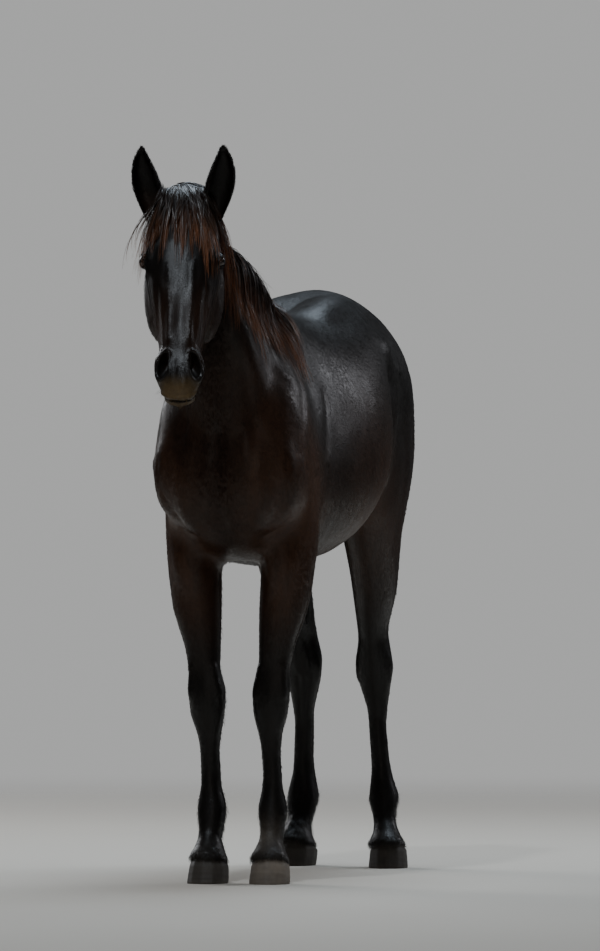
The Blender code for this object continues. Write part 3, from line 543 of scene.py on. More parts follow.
# lids: an almond over each eyeball, its rim standing off the ball and its inside behind it
def eyeAxes(side):
    out = unit(headLeft * side * 0.93 + headForward * 0.36 + np.array((0, 0, 0.05)))
    along = headDown * math.cos(math.radians(eyeShape["tilt"])) + headForward * math.sin(math.radians(eyeShape["tilt"]))
    along = unit(along - out * (along @ out))
    up = -np.cross(out, along) * side
    return out, along, up


def eyeRing(places, side):
    out, along, up = eyeAxes(side)
    ray = places - eyeMiddles[side]
    reach = np.maximum(np.linalg.norm(ray, axis=1), 1e-6)
    aim = ray / reach[:, None]
    facing = aim @ out
    a = np.degrees(np.arctan2(aim @ along, np.maximum(facing, 1e-3)))
    b = np.degrees(np.arctan2(aim @ up, np.maximum(facing, 1e-3)))
    lidLine = np.where(b > 0, eyeShape["high"], eyeShape["low"])
    ring = np.sqrt((a / eyeShape["long"]) ** 2 + (b / lidLine) ** 2) + 0.10 * (abs(a) / eyeShape["long"]) ** 3
    return aim, reach, facing, b, np.where(facing > -0.15, ring, 9.0)


# folds of the lids: height, ring and width, first on the upper lid, then on the lower
lidFolds = (
    ((0.0015, 1.40, 0.14), (0.0006, 1.45, 0.15)),
    ((-0.0012, 1.68, 0.07), (-0.0006, 1.72, 0.08)),
    ((0.0026, 1.95, 0.16), (0.0010, 1.95, 0.16)),
)


def shapeLids(obj):
    places = cornersOf(obj)
    radius = eyeShape["radius"]
    for side in (1, -1):
        near = np.nonzero(np.linalg.norm(places - eyeMiddles[side], axis=1) < radius * 1.9)[0]
        aim, reach, facing, b, ring = eyeRing(places[near], side)
        upper = b > 0
        edge = smoothStep(1.60, 1.10, ring)
        want = reach * (1 - edge) + (radius + eyeShape["lidHeight"]) * edge
        body = 0.0018 + 0.0013 * np.exp(-((ring - 1.10) / 0.11) ** 2)
        for above, below in lidFolds:
            fold = [height * np.exp(-((ring - at) / wide) ** 2) for height, at, wide in (above, below)]
            body += np.where(upper, *fold)
        hold = smoothStep(3.2, 2.4, ring)
        want = np.where(ring < 3.2, np.maximum(want, reach * (1 - hold) + (radius + body) * hold), want)
        rimmed = (ring > 0.88) & (ring < 1.10)
        out = eyeAxes(side)[0]
        flatAim = aim / np.maximum(facing, 1e-3)[:, None]
        flatAim = out + (flatAim - out) / np.maximum(ring, 0.1)[:, None] * 1.01
        aim = np.where(rimmed[:, None], unit(flatAim), aim)
        want = np.where(ring <= 0.88, radius - 0.0040, want)
        want = np.where(rimmed, radius + 0.0017, want)
        places[near] = eyeMiddles[side] + aim * want[:, None]
    moveCorners(obj, places)


shapeLids(skin)

# nostrils: a comma on each side, sunk into the muzzle inside a raised rim
nostrilShape = {
    "middle": (0.0535, 0.517, 0.014), "axis": (-0.07, 0.959, 0.274), "out": (0.80, 0.25, -0.55),
    "sink": (-0.50, -0.45, 0.60), "long": 0.034, "wide": 0.0160, "deep": 0.030, "rim": 0.0032,
}


def nostrilRing(places, side):
    own = headPart(places)
    own[:, 0] *= side
    axis, out = unit(np.array(nostrilShape["axis"])), np.array(nostrilShape["out"])
    out = unit(out - axis * (out @ axis))
    ray = own - nostrilShape["middle"]
    along, across, off = ray @ axis, ray @ np.cross(axis, out), ray @ out
    across = across - 0.006 * smoothStep(0.004, -0.036, along)
    wide = nostrilShape["wide"] * (1.0 + 0.30 * along / nostrilShape["long"])
    ring = np.sqrt((along / nostrilShape["long"]) ** 2 + (across / np.maximum(wide, 0.004)) ** 2)
    return np.where(abs(off) < 0.030, ring, 9.0)


places, normals = cornersOf(skin), normalsOf(skin)
for side in (1, -1):
    ring = nostrilRing(places, side)
    sink = np.array(nostrilShape["sink"]) * (side, 1, 1)
    inwards = unit(sink) @ headAxes
    depth = nostrilShape["deep"] * np.clip(1.0 - ring**2, 0.0, 1.0) ** 0.7
    rim = nostrilShape["rim"] * np.exp(-((ring - 1.22) / 0.18) ** 2)
    places += inwards * depth[:, None] + normals * rim[:, None]
moveCorners(skin, places)

# the skin swells out over the head of each hoof
coronet = {"rise": 0.34, "flare": 0.0070, "band": 0.036}
hoofNames = ("hoof_front_left", "hoof_front_right", "hoof_hind_left", "hoof_hind_right")


def overCoronet(places):
    height = np.full(len(places), 9.0)
    middles = np.zeros((len(places), 2))
    for name in hoofNames:
        low, high = (np.array(c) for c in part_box(name))
        rim = max(c.co.z + coronet["rise"] * c.co.y for c in frame["nodes"][name].data.vertices)
        near = np.all((places[:, :2] > low[:2] - 0.02) & (places[:, :2] < high[:2] + 0.03), axis=1)
        near &= places[:, 2] < 0.17
        height[near] = places[near, 2] + coronet["rise"] * places[near, 1] - rim
        middles[near] = (low[:2] + high[:2]) / 2 + (0, 0.012)
    return height, middles


places = cornersOf(skin)
height, middles = overCoronet(places)
outwards = places.copy()
outwards[:, :2] -= middles
outwards[:, 2] = 0.0
swell = coronet["flare"] * smoothStep(coronet["band"], 0.0, height) * (height < coronet["band"])
moveCorners(skin, places + unit(outwards) * swell[:, None])
bpy.data.objects.remove(fineSkin, do_unlink=True)
pick(skin)
bpy.ops.object.shade_smooth()
bpy.ops.object.mode_set(mode="EDIT")
bpy.ops.mesh.select_all(action="SELECT")
bpy.ops.uv.smart_project(angle_limit=math.radians(66), island_margin=0.002)
bpy.ops.object.mode_set(mode="OBJECT")
print("skin unwrapped")

# markings, one function of place for the skin and its coat
# distance from the middle, along, up, radius and amount of warm brown
warmSpots = (
    (0.20, -0.42, 1.14, 0.11, 0.75),  # edge of the shoulder
    (0.18, -0.34, 0.98, 0.13, 0.95),  # elbow
    (0.22, 0.34, 1.02, 0.16, 0.70),  # flank
    (0.16, 0.62, 0.90, 0.16, 0.35),  # thigh
    (0.10, 0.10, 0.88, 0.24, 0.35),  # belly
    (0.25, 0.10, 1.10, 0.22, 0.45),  # ribs
    (0.06, -0.60, 1.28, 0.18, 0.40),  # base of the neck
    (0.09, -0.56, 1.04, 0.14, 0.45),  # breast
    (0.10, 0.70, 1.10, 0.16, 0.25),  # buttock
    (0.12, -0.42, 0.80, 0.14, 0.50),  # forearm
    (0.05, -0.94, 1.50, 0.07, 0.35),  # lower face
    (0.05, -0.98, 1.42, 0.06, 0.40),
)
# pale dust on the left foreleg: aside, along, up, radius and amount
scuffs = ((0.075, -0.41, 0.12, 0.05, 0.45), (0.07, -0.46, 0.52, 0.03, 0.18), (0.08, -0.43, 0.21, 0.02, 0.25))


def markings(places):
    own = headPart(places)
    head = isHead(places)
    warm = np.zeros(len(places))
    for x, y, z, reach, amount in warmSpots:
        gap = (abs(places[:, 0]) - x) ** 2 + (places[:, 1] - y) ** 2 + (places[:, 2] - z) ** 2
        warm += amount * np.exp(-gap / reach**2)
    warm += head * 0.25 * smoothStep(0.05, 0.10, own[:, 2])
    # muzzle and chin tan, their own colour; the tan colour itself is set brighter as painted light from below
    tan = head * smoothStep(0.535, 0.585, own[:, 1])
    tan = np.maximum(tan, head * 0.75 * smoothStep(0.50, 0.56, own[:, 1]) * smoothStep(0.075, 0.10, own[:, 2]))
    for side in (1, -1):
        rim = np.linalg.norm(own - (side * 0.056, 0.518, 0.016), axis=1)
        tan *= 1.0 - 0.8 * smoothStep(0.045, 0.025, rim)
    dust = smoothStep(0.17, 0.05, places[:, 2]) * 0.10
    for x, y, z, reach, amount in scuffs:
        gap = (places[:, 0] - x) ** 2 + (places[:, 1] - y) ** 2 + (places[:, 2] - z) ** 2
        dust += amount * np.exp(-gap / reach**2)
    return np.clip(warm, 0, 1), np.clip(tan, 0, 1), np.clip(dust, 0, 1)


def uprightAt(places):
    return np.maximum(smoothStep(0.95, 0.82, places[:, 2]), isHead(places))


places = cornersOf(skin)
skinWarm, skinTanAndLipHighlight, skinDust = markings(places)
# painted shade: near-black inside the nostrils, on the inner rim of the lids and along the mouth slit
paintedShade = np.max([smoothStep(1.02, 0.72, nostrilRing(places, side)) for side in (1, -1)], axis=0)
nostrilEdge = np.max([smoothStep(1.45, 1.15, nostrilRing(places, side)) for side in (1, -1)], axis=0)
bare = nostrilEdge * 0.9
for side in (1, -1):
    _, reach, _, _, ring = eyeRing(places, side)
    bare = np.maximum(bare, smoothStep(1.42, 1.18, ring) * (reach < eyeShape["radius"] * 1.5))
    paintedShade = np.maximum(paintedShade, 0.8 * smoothStep(1.12, 1.03, ring) * (reach < eyeShape["radius"] * 1.5))
own = headPart(places)
own[:, 0] = abs(own[:, 0])
slit = np.full(len(own), 1.0)
for first, second in zip(mouthLine, mouthLine[1:]):
    first, second = np.array(first), np.array(second)
    t = np.clip((own - first) @ (second - first) / np.sum((second - first) ** 2), 0, 1)
    slit = np.minimum(slit, np.linalg.norm(own - first - t[:, None] * (second - first), axis=1))
paintedShade = np.maximum(paintedShade, 0.9 * smoothStep(0.0085, 0.0045, slit))
bare = np.maximum(bare, 0.45 * smoothStep(0.016, 0.010, slit))
# tan along both lips: their own colour, and also a painted highlight on the lip edges
skinTanAndLipHighlight = np.maximum(skinTanAndLipHighlight, smoothStep(0.020, 0.012, slit))
skinValues = {"warm": skinWarm, "tan": skinTanAndLipHighlight, "dust": skinDust, "bare": bare, "paintedShade": paintedShade}
skinValues["upright"] = uprightAt(places)
for name, amounts in skinValues.items():
    setValues(skin, name, amounts)


# shared effects
def makeGroup(name, inputs, outputs):
    group = bpy.data.node_groups.new(name, "ShaderNodeTree")
    for socket, kind, value in inputs:
        made = group.interface.new_socket(socket, in_out="INPUT", socket_type=kind)
        made.default_value = value
    for socket, kind in outputs:
        group.interface.new_socket(socket, in_out="OUTPUT", socket_type=kind)
    return group, group.nodes.new("NodeGroupInput"), group.nodes.new("NodeGroupOutput")


def mixColour(tree, factor, first, second, blend="MIX"):
    node = tree.nodes.new("ShaderNodeMix")
    node.data_type = "RGBA"
    node.blend_type = blend
    for socket, value in (("Factor", factor), ("A", first), ("B", second)):
        if isinstance(value, bpy.types.NodeSocket):
            tree.links.new(value, node.inputs[socket])
        else:
            node.inputs[socket].default_value = value
    return node.outputs["Result"]


def maths(tree, operation, first, second=0.0):
    node = tree.nodes.new("ShaderNodeMath")
    node.operation = operation
    for socket, value in zip(node.inputs, (first, second)):
        if isinstance(value, bpy.types.NodeSocket):
            tree.links.new(value, socket)
        else:
            socket.default_value = value
    return node.outputs[0]


def noiseNode(tree, scale, detail=2.0, stretch=(1.0, 1.0, 1.0)):
    place = tree.nodes.new("ShaderNodeTexCoord")
    mapping = tree.nodes.new("ShaderNodeMapping")
    mapping.inputs["Scale"].default_value = stretch
    tree.links.new(place.outputs["Object"], mapping.inputs["Vector"])
    node = tree.nodes.new("ShaderNodeTexNoise")
    node.inputs["Scale"].default_value = scale
    node.inputs["Detail"].default_value = detail
    tree.links.new(mapping.outputs["Vector"], node.inputs["Vector"])
    return node.outputs["Fac"]


def attribute(tree, name):
    node = tree.nodes.new("ShaderNodeAttribute")
    node.attribute_name = name
    return node.outputs["Fac"]


coatColours = {
    "black": (0.0052, 0.0037, 0.0029, 1.0),
    "brown": (0.074, 0.030, 0.0130, 1.0),
    # the muzzle's own tan, set brighter as painted light from below on the chin and lips
    "tan": (0.125, 0.082, 0.038, 1.0),
    "dust": (0.20, 0.165, 0.13, 1.0),
}
group, given, result = makeGroup(
    "coatColour",
    [
        ("Warm", "NodeSocketFloat", 0.0), ("Tan", "NodeSocketFloat", 0.0),
        ("Dust", "NodeSocketFloat", 0.0), ("Shade", "NodeSocketFloat", 0.5),
    ],
    [("Colour", "NodeSocketColor"), ("Roughness", "NodeSocketFloat")],
)
cloud = noiseNode(group, 9.0, 4.0)
streak = noiseNode(group, 36.0, 3.0, (1.0, 1.0, 0.13))  # drawn out down the sides
fleck = noiseNode(group, 140.0, 2.0)
patchy = maths(group, "ADD", maths(group, "MULTIPLY", cloud, 0.5), maths(group, "MULTIPLY", streak, 0.7))
patchy = maths(group, "MULTIPLY", given.outputs["Warm"], maths(group, "ADD", 0.40, patchy))
base = mixColour(group, patchy, coatColours["black"], coatColours["brown"])
# muzzle tan: real colour, brightened as painted light from below on the chin and lips
base = mixColour(group, given.outputs["Tan"], base, coatColours["tan"])
dusty = maths(group, "MULTIPLY", maths(group, "ADD", cloud, fleck), 0.75)
dusty = maths(group, "MULTIPLY", given.outputs["Dust"], dusty)
base = mixColour(group, dusty, base, coatColours["dust"])
shade = maths(group, "ADD", 0.70, maths(group, "MULTIPLY", given.outputs["Shade"], 0.6))
shadeColour = group.nodes.new("ShaderNodeCombineColor")
for channel in ("Red", "Green", "Blue"):
    group.links.new(shade, shadeColour.inputs[channel])
base = mixColour(group, 1.0, base, shadeColour.outputs["Color"], "MULTIPLY")
group.links.new(base, result.inputs["Colour"])
rough = maths(group, "ADD", 0.25, maths(group, "MULTIPLY", dusty, 0.4))
rough = maths(group, "ADD", rough, maths(group, "MULTIPLY", streak, 0.22))
group.links.new(maths(group, "ADD", rough, maths(group, "MULTIPLY", cloud, 0.06)), result.inputs["Roughness"])
coatColourGroup = group

group, given, result = makeGroup(
    "hairGrain",
    [("Upright", "NodeSocketFloat", 0.0), ("Fineness", "NodeSocketFloat", 1.0)],
    [("Height", "NodeSocketFloat")],
)
lying = noiseNode(group, 300.0, 2.0, (1.0, 0.10, 0.7))
standing = noiseNode(group, 300.0, 2.0, (1.0, 1.0, 0.10))
clumps = noiseNode(group, 60.0, 2.0, (1.0, 0.35, 0.6))
height = group.nodes.new("ShaderNodeMix")
group.links.new(given.outputs["Upright"], height.inputs["Factor"])
group.links.new(lying, height.inputs["A"])
group.links.new(standing, height.inputs["B"])
height = maths(group, "ADD", height.outputs["Result"], maths(group, "MULTIPLY", clumps, 0.7))
group.links.new(maths(group, "MULTIPLY", height, given.outputs["Fineness"]), result.inputs["Height"])
hairGrainGroup = group


def useGroup(tree, group, **values):
    node = tree.nodes.new("ShaderNodeGroup")
    node.node_tree = group
    for name, value in values.items():
        if isinstance(value, bpy.types.NodeSocket):
            tree.links.new(value, node.inputs[name])
        else:
            node.inputs[name].default_value = value
    return node


def newMaterial(name, **settings):
    material = bpy.data.materials.new(name)
    material.use_nodes = True
    shader = material.node_tree.nodes["Principled BSDF"]
    for socket, value in settings.items():
        shader.inputs[socket.replace("_", " ")].default_value = value
    return material, material.node_tree, shader


def addBump(tree, shader, height, strength, distance):
    bump = tree.nodes.new("ShaderNodeBump")
    bump.inputs["Strength"].default_value = strength
    bump.inputs["Distance"].default_value = distance
    tree.links.new(height, bump.inputs["Height"])
    tree.links.new(bump.outputs["Normal"], shader.inputs["Normal"])


def markedCoat(tree, **values):
    marks = {name.capitalize(): attribute(tree, name) for name in ("warm", "tan", "dust")}
    return useGroup(tree, coatColourGroup, **marks, **values)


gloss = {"Specular_IOR_Level": 0.30}
grainBump = {"strength": 0.38, "distance": 0.0006}
# bare skin colour, and near-black painted shade for the nostrils, lid rims and mouth slit
skinColours = {"bare": (0.010, 0.0085, 0.008, 1.0), "paintedShade": (0.0022, 0.0015, 0.0014, 1.0)}
skinPaint, tree, shader = newMaterial("horseSkin", **gloss)
colour = markedCoat(tree)
bareness = attribute(tree, "bare")
painted = mixColour(tree, maths(tree, "MULTIPLY", bareness, 0.7), colour.outputs["Colour"], skinColours["bare"])
# painted shade over the nostrils, lid rims and mouth slit, which are also made duller
painted = mixColour(tree, attribute(tree, "paintedShade"), painted, skinColours["paintedShade"])
tree.links.new(painted, shader.inputs["Base Color"])
roughness = tree.nodes.new("ShaderNodeMix")
tree.links.new(bareness, roughness.inputs["Factor"])
tree.links.new(colour.outputs["Roughness"], roughness.inputs["A"])
roughness.inputs["B"].default_value = 0.34
dull = maths(tree, "MULTIPLY", attribute(tree, "paintedShade"), 0.5)
tree.links.new(maths(tree, "ADD", roughness.outputs["Result"], dull), shader.inputs["Roughness"])
grain = useGroup(tree, hairGrainGroup, Upright=attribute(tree, "upright"))
addBump(tree, shader, grain.outputs["Height"], **grainBump)
paintAll(skin, skinPaint)

coatPaint, tree, shader = newMaterial("shortCoat", **gloss)
colour = markedCoat(tree, Shade=attribute(tree, "shade"))
tree.links.new(colour.outputs["Colour"], shader.inputs["Base Color"])
tree.links.new(colour.outputs["Roughness"], shader.inputs["Roughness"])
grain = useGroup(tree, hairGrainGroup, Upright=attribute(tree, "upright"))
addBump(tree, shader, grain.outputs["Height"], **grainBump)

hairColours = {
    "dark": (0.0055, 0.0042, 0.0038, 1.0),
    "pale": (0.022, 0.0135, 0.0095, 1.0),
    "red": (0.37, 0.130, 0.046, 1.0),
}
hairPaint, tree, shader = newMaterial("longHair", Specular_IOR_Level=0.46)
hairBase = mixColour(tree, attribute(tree, "shade"), hairColours["dark"], hairColours["pale"])
hairBase = mixColour(tree, attribute(tree, "red"), hairBase, hairColours["red"])
tree.links.new(hairBase, shader.inputs["Base Color"])
strandNoise = noiseNode(tree, 220.0, 1.0, (1.0, 1.0, 0.15))
tree.links.new(maths(tree, "ADD", 0.31, maths(tree, "MULTIPLY", strandNoise, 0.2)), shader.inputs["Roughness"])
print("materials ready")

# the coat
skinFaces, skinLoops = trianglesOf(skin)
skinPlaces, skinNormals = cornersOf(skin), normalsOf(skin)
uvs = np.empty(len(skin.data.uv_layers.active.data) * 2, np.float32)
skin.data.uv_layers.active.data.foreach_get("uv", uvs)
uvs = uvs.reshape(-1, 2).astype(float)
faceMiddles = skinPlaces[skinFaces].mean(axis=1)
first, second, third = (skinPlaces[skinFaces[:, k]] for k in range(3))
faceAreas = np.linalg.norm(np.cross(second - first, third - first), axis=1) / 2
faceBare = bare[skinFaces].mean(axis=1)
# neighbours side by side, so that the tufts spread evenly
cells = np.floor(faceMiddles / 0.012).astype(int)
cellOrder = np.lexsort((cells[:, 0], cells[:, 1], cells[:, 2]))


def lieOf(places, normals):
    own = headPart(places)
    head = isHead(places)[:, None]
    leg = smoothStep(0.95, 0.80, places[:, 2])[:, None] * (1 - head)
    side = np.sign(places[:, 0])[:, None]
    flow = np.tile((0.0, 1.0, -0.42), (len(places), 1))
    neck = smoothStep(-0.40, -0.60, places[:, 1])[:, None] * (1 - head)
    flow = flow + (np.array((0.0, 0.55, -0.9)) - flow) * neck
    flow[:, 0] += side[:, 0] * 0.15
    flank = np.exp(-((places[:, 1] - 0.40) ** 2 + (places[:, 2] - 1.08) ** 2) / 0.10**2)[:, None]
    flow = flow + (np.array((0.0, -0.3, 0.6)) - flow) * flank * 0.7
    flow = flow + (np.array((0.0, 0.10, -1.0)) - flow) * leg
    above = smoothStep(0.16, 0.10, own[:, 1])[:, None]
    face = headDown * 1.0 + headLeft * np.sign(own[:, :1]) * 0.25
    face = face * (1 - above) + above * (-headDown + headLeft * np.sign(own[:, :1]) * 0.4)
    cheek = smoothStep(0.06, 0.12, own[:, 2])[:, None]
    face = face * (1 - cheek) + cheek * (headDown * 0.4 + headBack * 0.9)
    flow = flow + (face - flow) * head
    ear = isEar(places)[:, None]
    flow = flow + (np.array((0.0, 0.0, 1.0)) - flow) * ear
    flow = flow - normals * np.sum(flow * normals, axis=1, keepdims=True)
    return unit(flow)


coatShape = {"blades": 3, "fan": 0.30, "wild": 0.12, "uvSize": 0.0015}


def makeCoat(name, tufts, weight, length, width, lift):
    blades = coatShape["blades"]
    odds = (faceAreas * weight)[cellOrder]
    share = np.cumsum(odds) / odds.sum()
    spots = np.searchsorted(share, (np.arange(tufts) + chance.random(tufts)) / tufts)
    chosen = cellOrder[np.minimum(spots, len(share) - 1)]
    a, b = chance.random((2, tufts, 1))
    swap = a + b > 1
    a, b = np.where(swap, 1 - a, a), np.where(swap, 1 - b, b)

    def mix(values, rows):
        return values[rows[:, 0]] * (1 - a - b) + values[rows[:, 1]] * a + values[rows[:, 2]] * b

    roots = mix(skinPlaces, skinFaces[chosen])
    normals = unit(mix(skinNormals, skinFaces[chosen]))
    rootUv = mix(uvs, skinLoops[chosen])
    lie = lieOf(roots, normals)
    across = np.cross(normals, lie)
    sizes = np.array([length(roots)]).reshape(-1, 1) * (0.75 + 0.5 * chance.random((tufts, 1)))
    shades = np.clip(0.5 + 0.22 * chance.standard_normal(tufts), 0, 1)
    warm, tan, dust = markings(roots)
    corners, patch = [], []
    for blade in range(blades):
        place = blade - (blades - 1) / 2
        turn = place * coatShape["fan"] + coatShape["wild"] * chance.standard_normal((tufts, 1))
        heading = lie * np.cos(turn) + across * np.sin(turn)
        aside = across * np.cos(turn) - lie * np.sin(turn)
        long = sizes * (0.85 + 0.3 * chance.random((tufts, 1)))
        up = lift * (0.6 + 0.8 * chance.random((tufts, 1)))
        root = roots - normals * 0.0003 + aside * place * width * 0.5
        middle = root + heading * long * 0.45 + normals * (up * long + 0.0005)
        tip = root + heading * long + normals * (up * long * 1.1 + 0.0001)
        half = aside * width * 0.5
        corners.append(np.stack([root, middle - half, middle + half, tip], axis=1))
        diamond = coatShape["uvSize"] * np.array(((0.0, -0.5), (-0.5, 0.0), (0.5, 0.0), (0.0, 0.5)))
        patch.append(rootUv[:, None, :] + diamond[None])
    corners = np.concatenate(corners).reshape(-1, 3)
    patch = np.concatenate(patch).reshape(-1, 2)
    count = tufts * blades
    first = np.arange(count)[:, None] * 4
    faces = np.concatenate([first + (0, 1, 2), first + (1, 3, 2)], axis=1).reshape(-1, 3)
    marks = {"warm": warm, "tan": tan, "dust": dust, "shade": shades, "upright": uprightAt(roots)}
    values = {key: np.repeat(np.tile(amounts, blades), 4) for key, amounts in marks.items()}
    return meshPiece(name, corners, faces, patch, values, coatPaint)


def meshPiece(name, corners, faces, patch, values, paint):
    mesh = bpy.data.meshes.new(name)
    mesh.vertices.add(len(corners))
    mesh.vertices.foreach_set("co", corners.astype(np.float32).ravel())
    mesh.loops.add(faces.size)
    mesh.loops.foreach_set("vertex_index", faces.astype(np.int32).ravel())
    mesh.polygons.add(len(faces))
    mesh.polygons.foreach_set("loop_start", np.arange(len(faces), dtype=np.int32) * faces.shape[1])
    mesh.polygons.foreach_set("loop_total", np.full(len(faces), faces.shape[1], np.int32))
    mesh.update(calc_edges=True)
    layer = mesh.uv_layers.new(name="OFBake")
    layer.data.foreach_set("uv", patch[faces.ravel()].astype(np.float32).ravel())
    obj = bpy.data.objects.new(name, mesh)
    scene.collection.objects.link(obj)
    for key, value in values.items():
        setValues(obj, key, value)
    mesh.materials.append(paint)
    mesh.polygons.foreach_set("use_smooth", np.ones(len(faces), bool))
    return obj


headWeight = isHead(faceMiddles)
legWeight = smoothStep(0.92, 0.84, faceMiddles[:, 2])
openSkin = 1.0 - np.clip(faceBare * 1.6, 0, 1)


def constant(value):
    return lambda roots: np.full(len(roots), value)


def headLength(roots):
    own = headPart(roots)
    return 0.0070 + 0.0045 * smoothStep(0.06, 0.14, own[:, 2]) - 0.0025 * smoothStep(0.42, 0.55, own[:, 1])


def guardWeight(places):
    own, head = headPart(places), isHead(places)
    aside, along, up = abs(places[:, 0]), places[:, 1], places[:, 2]
    height, _ = overCoronet(places)
    back = along - np.where(along < 0.2, -0.375, 0.775)
    elbow = ((aside - 0.14) / 0.05) ** 2 + ((along + 0.27) / 0.06) ** 2 + ((up - 0.93) / 0.06) ** 2
    return np.max([
        0.8 * head * smoothStep(0.10, 0.16, own[:, 2]) * smoothStep(0.50, 0.30, own[:, 1]),  # jaw
        0.9 * head * smoothStep(0.085, 0.11, own[:, 2]) * smoothStep(0.48, 0.54, own[:, 1]),  # chin
        1.6 * isEar(places),
        3.0 * smoothStep(0.014, 0.002, height) * (height > -0.01),  # over the hoof
        1.2 * np.exp(-((up - 0.155) / 0.035) ** 2) * smoothStep(-0.01, 0.02, back),  # behind the fetlock
        0.7 * np.exp(-elbow),
        0.35 * smoothStep(0.08, 0.02, aside) * smoothStep(1.0, 0.9, up) * (along > -0.35) * (along < 0.5),  # belly
        0.3 * smoothStep(0.05, 0.01, aside) * (along < -0.5) * (up > 0.9) * (1 - head),  # throat and breast
    ], axis=0)


def guardLength(roots):
    long = 0.018 + (0.013 - 0.018) * isHead(roots)
    long += (0.0085 - long) * isEar(roots)
    height, _ = overCoronet(roots)
    return np.where(height < 0.02, 0.019, long)


bodyWeight = (1 - headWeight) * (1 - legWeight)
shortHead = headWeight * openSkin
coatPieces = (  # name, tufts, where, length, width and lift of a blade
    ("coat_body_a", 32500, bodyWeight, constant(0.0165), 0.0017, 0.035),
    ("coat_body_b", 32500, bodyWeight, constant(0.0150), 0.0015, 0.035),
    ("coat_legs", 32500, legWeight, constant(0.0105), 0.0014, 0.04),
    ("coat_head_a", 30000, shortHead, headLength, 0.0010, 0.045),
    ("coat_head_b", 30000, shortHead, headLength, 0.0009, 0.045),
    ("coat_guard", 20000, guardWeight(faceMiddles) * openSkin, guardLength, 0.0009, 0.16),
)
coats = [makeCoat(*row) for row in coatPieces]
print("coat grown")


# long hair
noEar = isEar(faceMiddles) < 0.3
bareFaces = np.nonzero(noEar)[0]
hairTree = BVHTree.FromPolygons(
    [tuple(p) for p in skinPlaces], [tuple(int(c) for c in face) for face in skinFaces[bareFaces]]
)


def crestPoint(y):
    best = None
    for x in np.linspace(-0.05, 0.03, 17):
        hit = hairTree.ray_cast(Vector((x, y, 2.3)), Vector((0, 0, -1)))[0]
        if hit is not None and (best is None or hit.z > best.z):
            best = hit
    return best


def fallStrand(root, heading, length, steps, weight, cling, lift):
    points = [Vector(root)]
    direction = Vector(heading).normalized()
    step = length / steps
    for i in range(steps):
        direction = (direction + Vector((0, 0, -1)) * weight * (0.3 + i / steps)).normalized()
        point = points[-1] + direction * step
        hit, normal, _, distance = hairTree.find_nearest(point)
        gap = (point - hit).dot(normal)
        own = lift * min(1.0, (i + 1) / 3)
        if gap < own:
            point = hit + normal * own
        elif distance < 0.05:
            point = point - normal * (gap - own) * cling
        direction = (point - points[-1]).normalized()
        points.append(points[-1] + direction * step)
    return points


def ribbons(name, strands, width, values, roots, paint):
    count, steps = strands.shape[:2]
    along = unit(np.gradient(strands, axis=1))
    # the flat side faces away from the skin
    facing = np.array([hairTree.find_nearest(Vector(p))[1] for p in strands[:, ::4].reshape(-1, 3)])
    facing = facing.reshape(count, -1, 3)
    index = np.minimum(np.arange(steps) // 4, facing.shape[1] - 1)
    facing = facing[:, index]
    twist = chance.standard_normal((count, 1, 1)) * 0.5
    across = unit(np.cross(facing, along))
    out = np.cross(along, across)
    across = across * np.cos(twist) + out * np.sin(twist)
    t = np.linspace(0, 1, steps)[None, :, None]
    half = across * width * (1 - 0.85 * t**2.5) * (0.7 + 0.6 * chance.random((count, 1, 1))) / 2
    corners = np.stack([strands - half, strands + half], axis=2).reshape(-1, 3)
    base = (np.arange(count)[:, None] * steps + np.arange(steps - 1)[None]).reshape(-1, 1) * 2
    faces = base + (0, 1, 3, 2)
    data = {}
    for key, value in values.items():
        if value.ndim == 1:
            value = np.repeat(value[:, None], steps, 1)
        data[key] = np.repeat(value.reshape(-1), 2)
    under = [hairTree.find_nearest(Vector(root))[2] for root in roots]
    rootUv = uvs[skinLoops[bareFaces[under], 0]]
    grid = np.stack(np.meshgrid(np.linspace(0, 1, steps), (0, 1), indexing="ij"), axis=-1) - 0.5
    patch = (rootUv[:, None, None, :] + grid[None] * 0.0015).reshape(-1, 2)
    return meshPiece(name, corners, faces, patch, data, paint)


def lockOf(guide, count, spread, tipSpread, shorter, redTip, tone, redFrom):
    steps = len(guide)
    u = np.linspace(0, 1, steps)[:, None]
    strands, red, shades = [], [], []
    for _ in range(count):
        offset = chance.standard_normal(3) * spread
        tipOffset = chance.standard_normal(3) * tipSpread
        strand = guide + offset * (1 - u) + tipOffset * u**1.5
        strand = strand[0] + (strand - strand[0]) * (shorter + (1.08 - shorter) * chance.random())
        strands.append(strand + 0.002 * np.sin(u * 6 + chance.random() * 6) * chance.standard_normal(3) * u)
        red.append((0.02 + smoothStep(redFrom, 1.0, u[:, 0]) * redTip) * (0.4 + chance.random()))
        shades.append(np.clip(tone + 0.22 * chance.standard_normal(), 0, 1))
    return strands, red, shades


def gather(locks):
    strands = [strand for lock in locks for strand in lock[0]]
    red = [row for lock in locks for row in lock[1]]
    shades = [value for lock in locks for value in lock[2]]
    return np.array(strands), {"red": np.clip(np.array(red), 0, 1), "shade": np.array(shades)}


maneShape = {
    "locks": 230, "strands": 28, "steps": 13, "length": 0.285, "width": 0.0017,
    "root": 0.013, "from": -0.802, "to": -0.205,
}


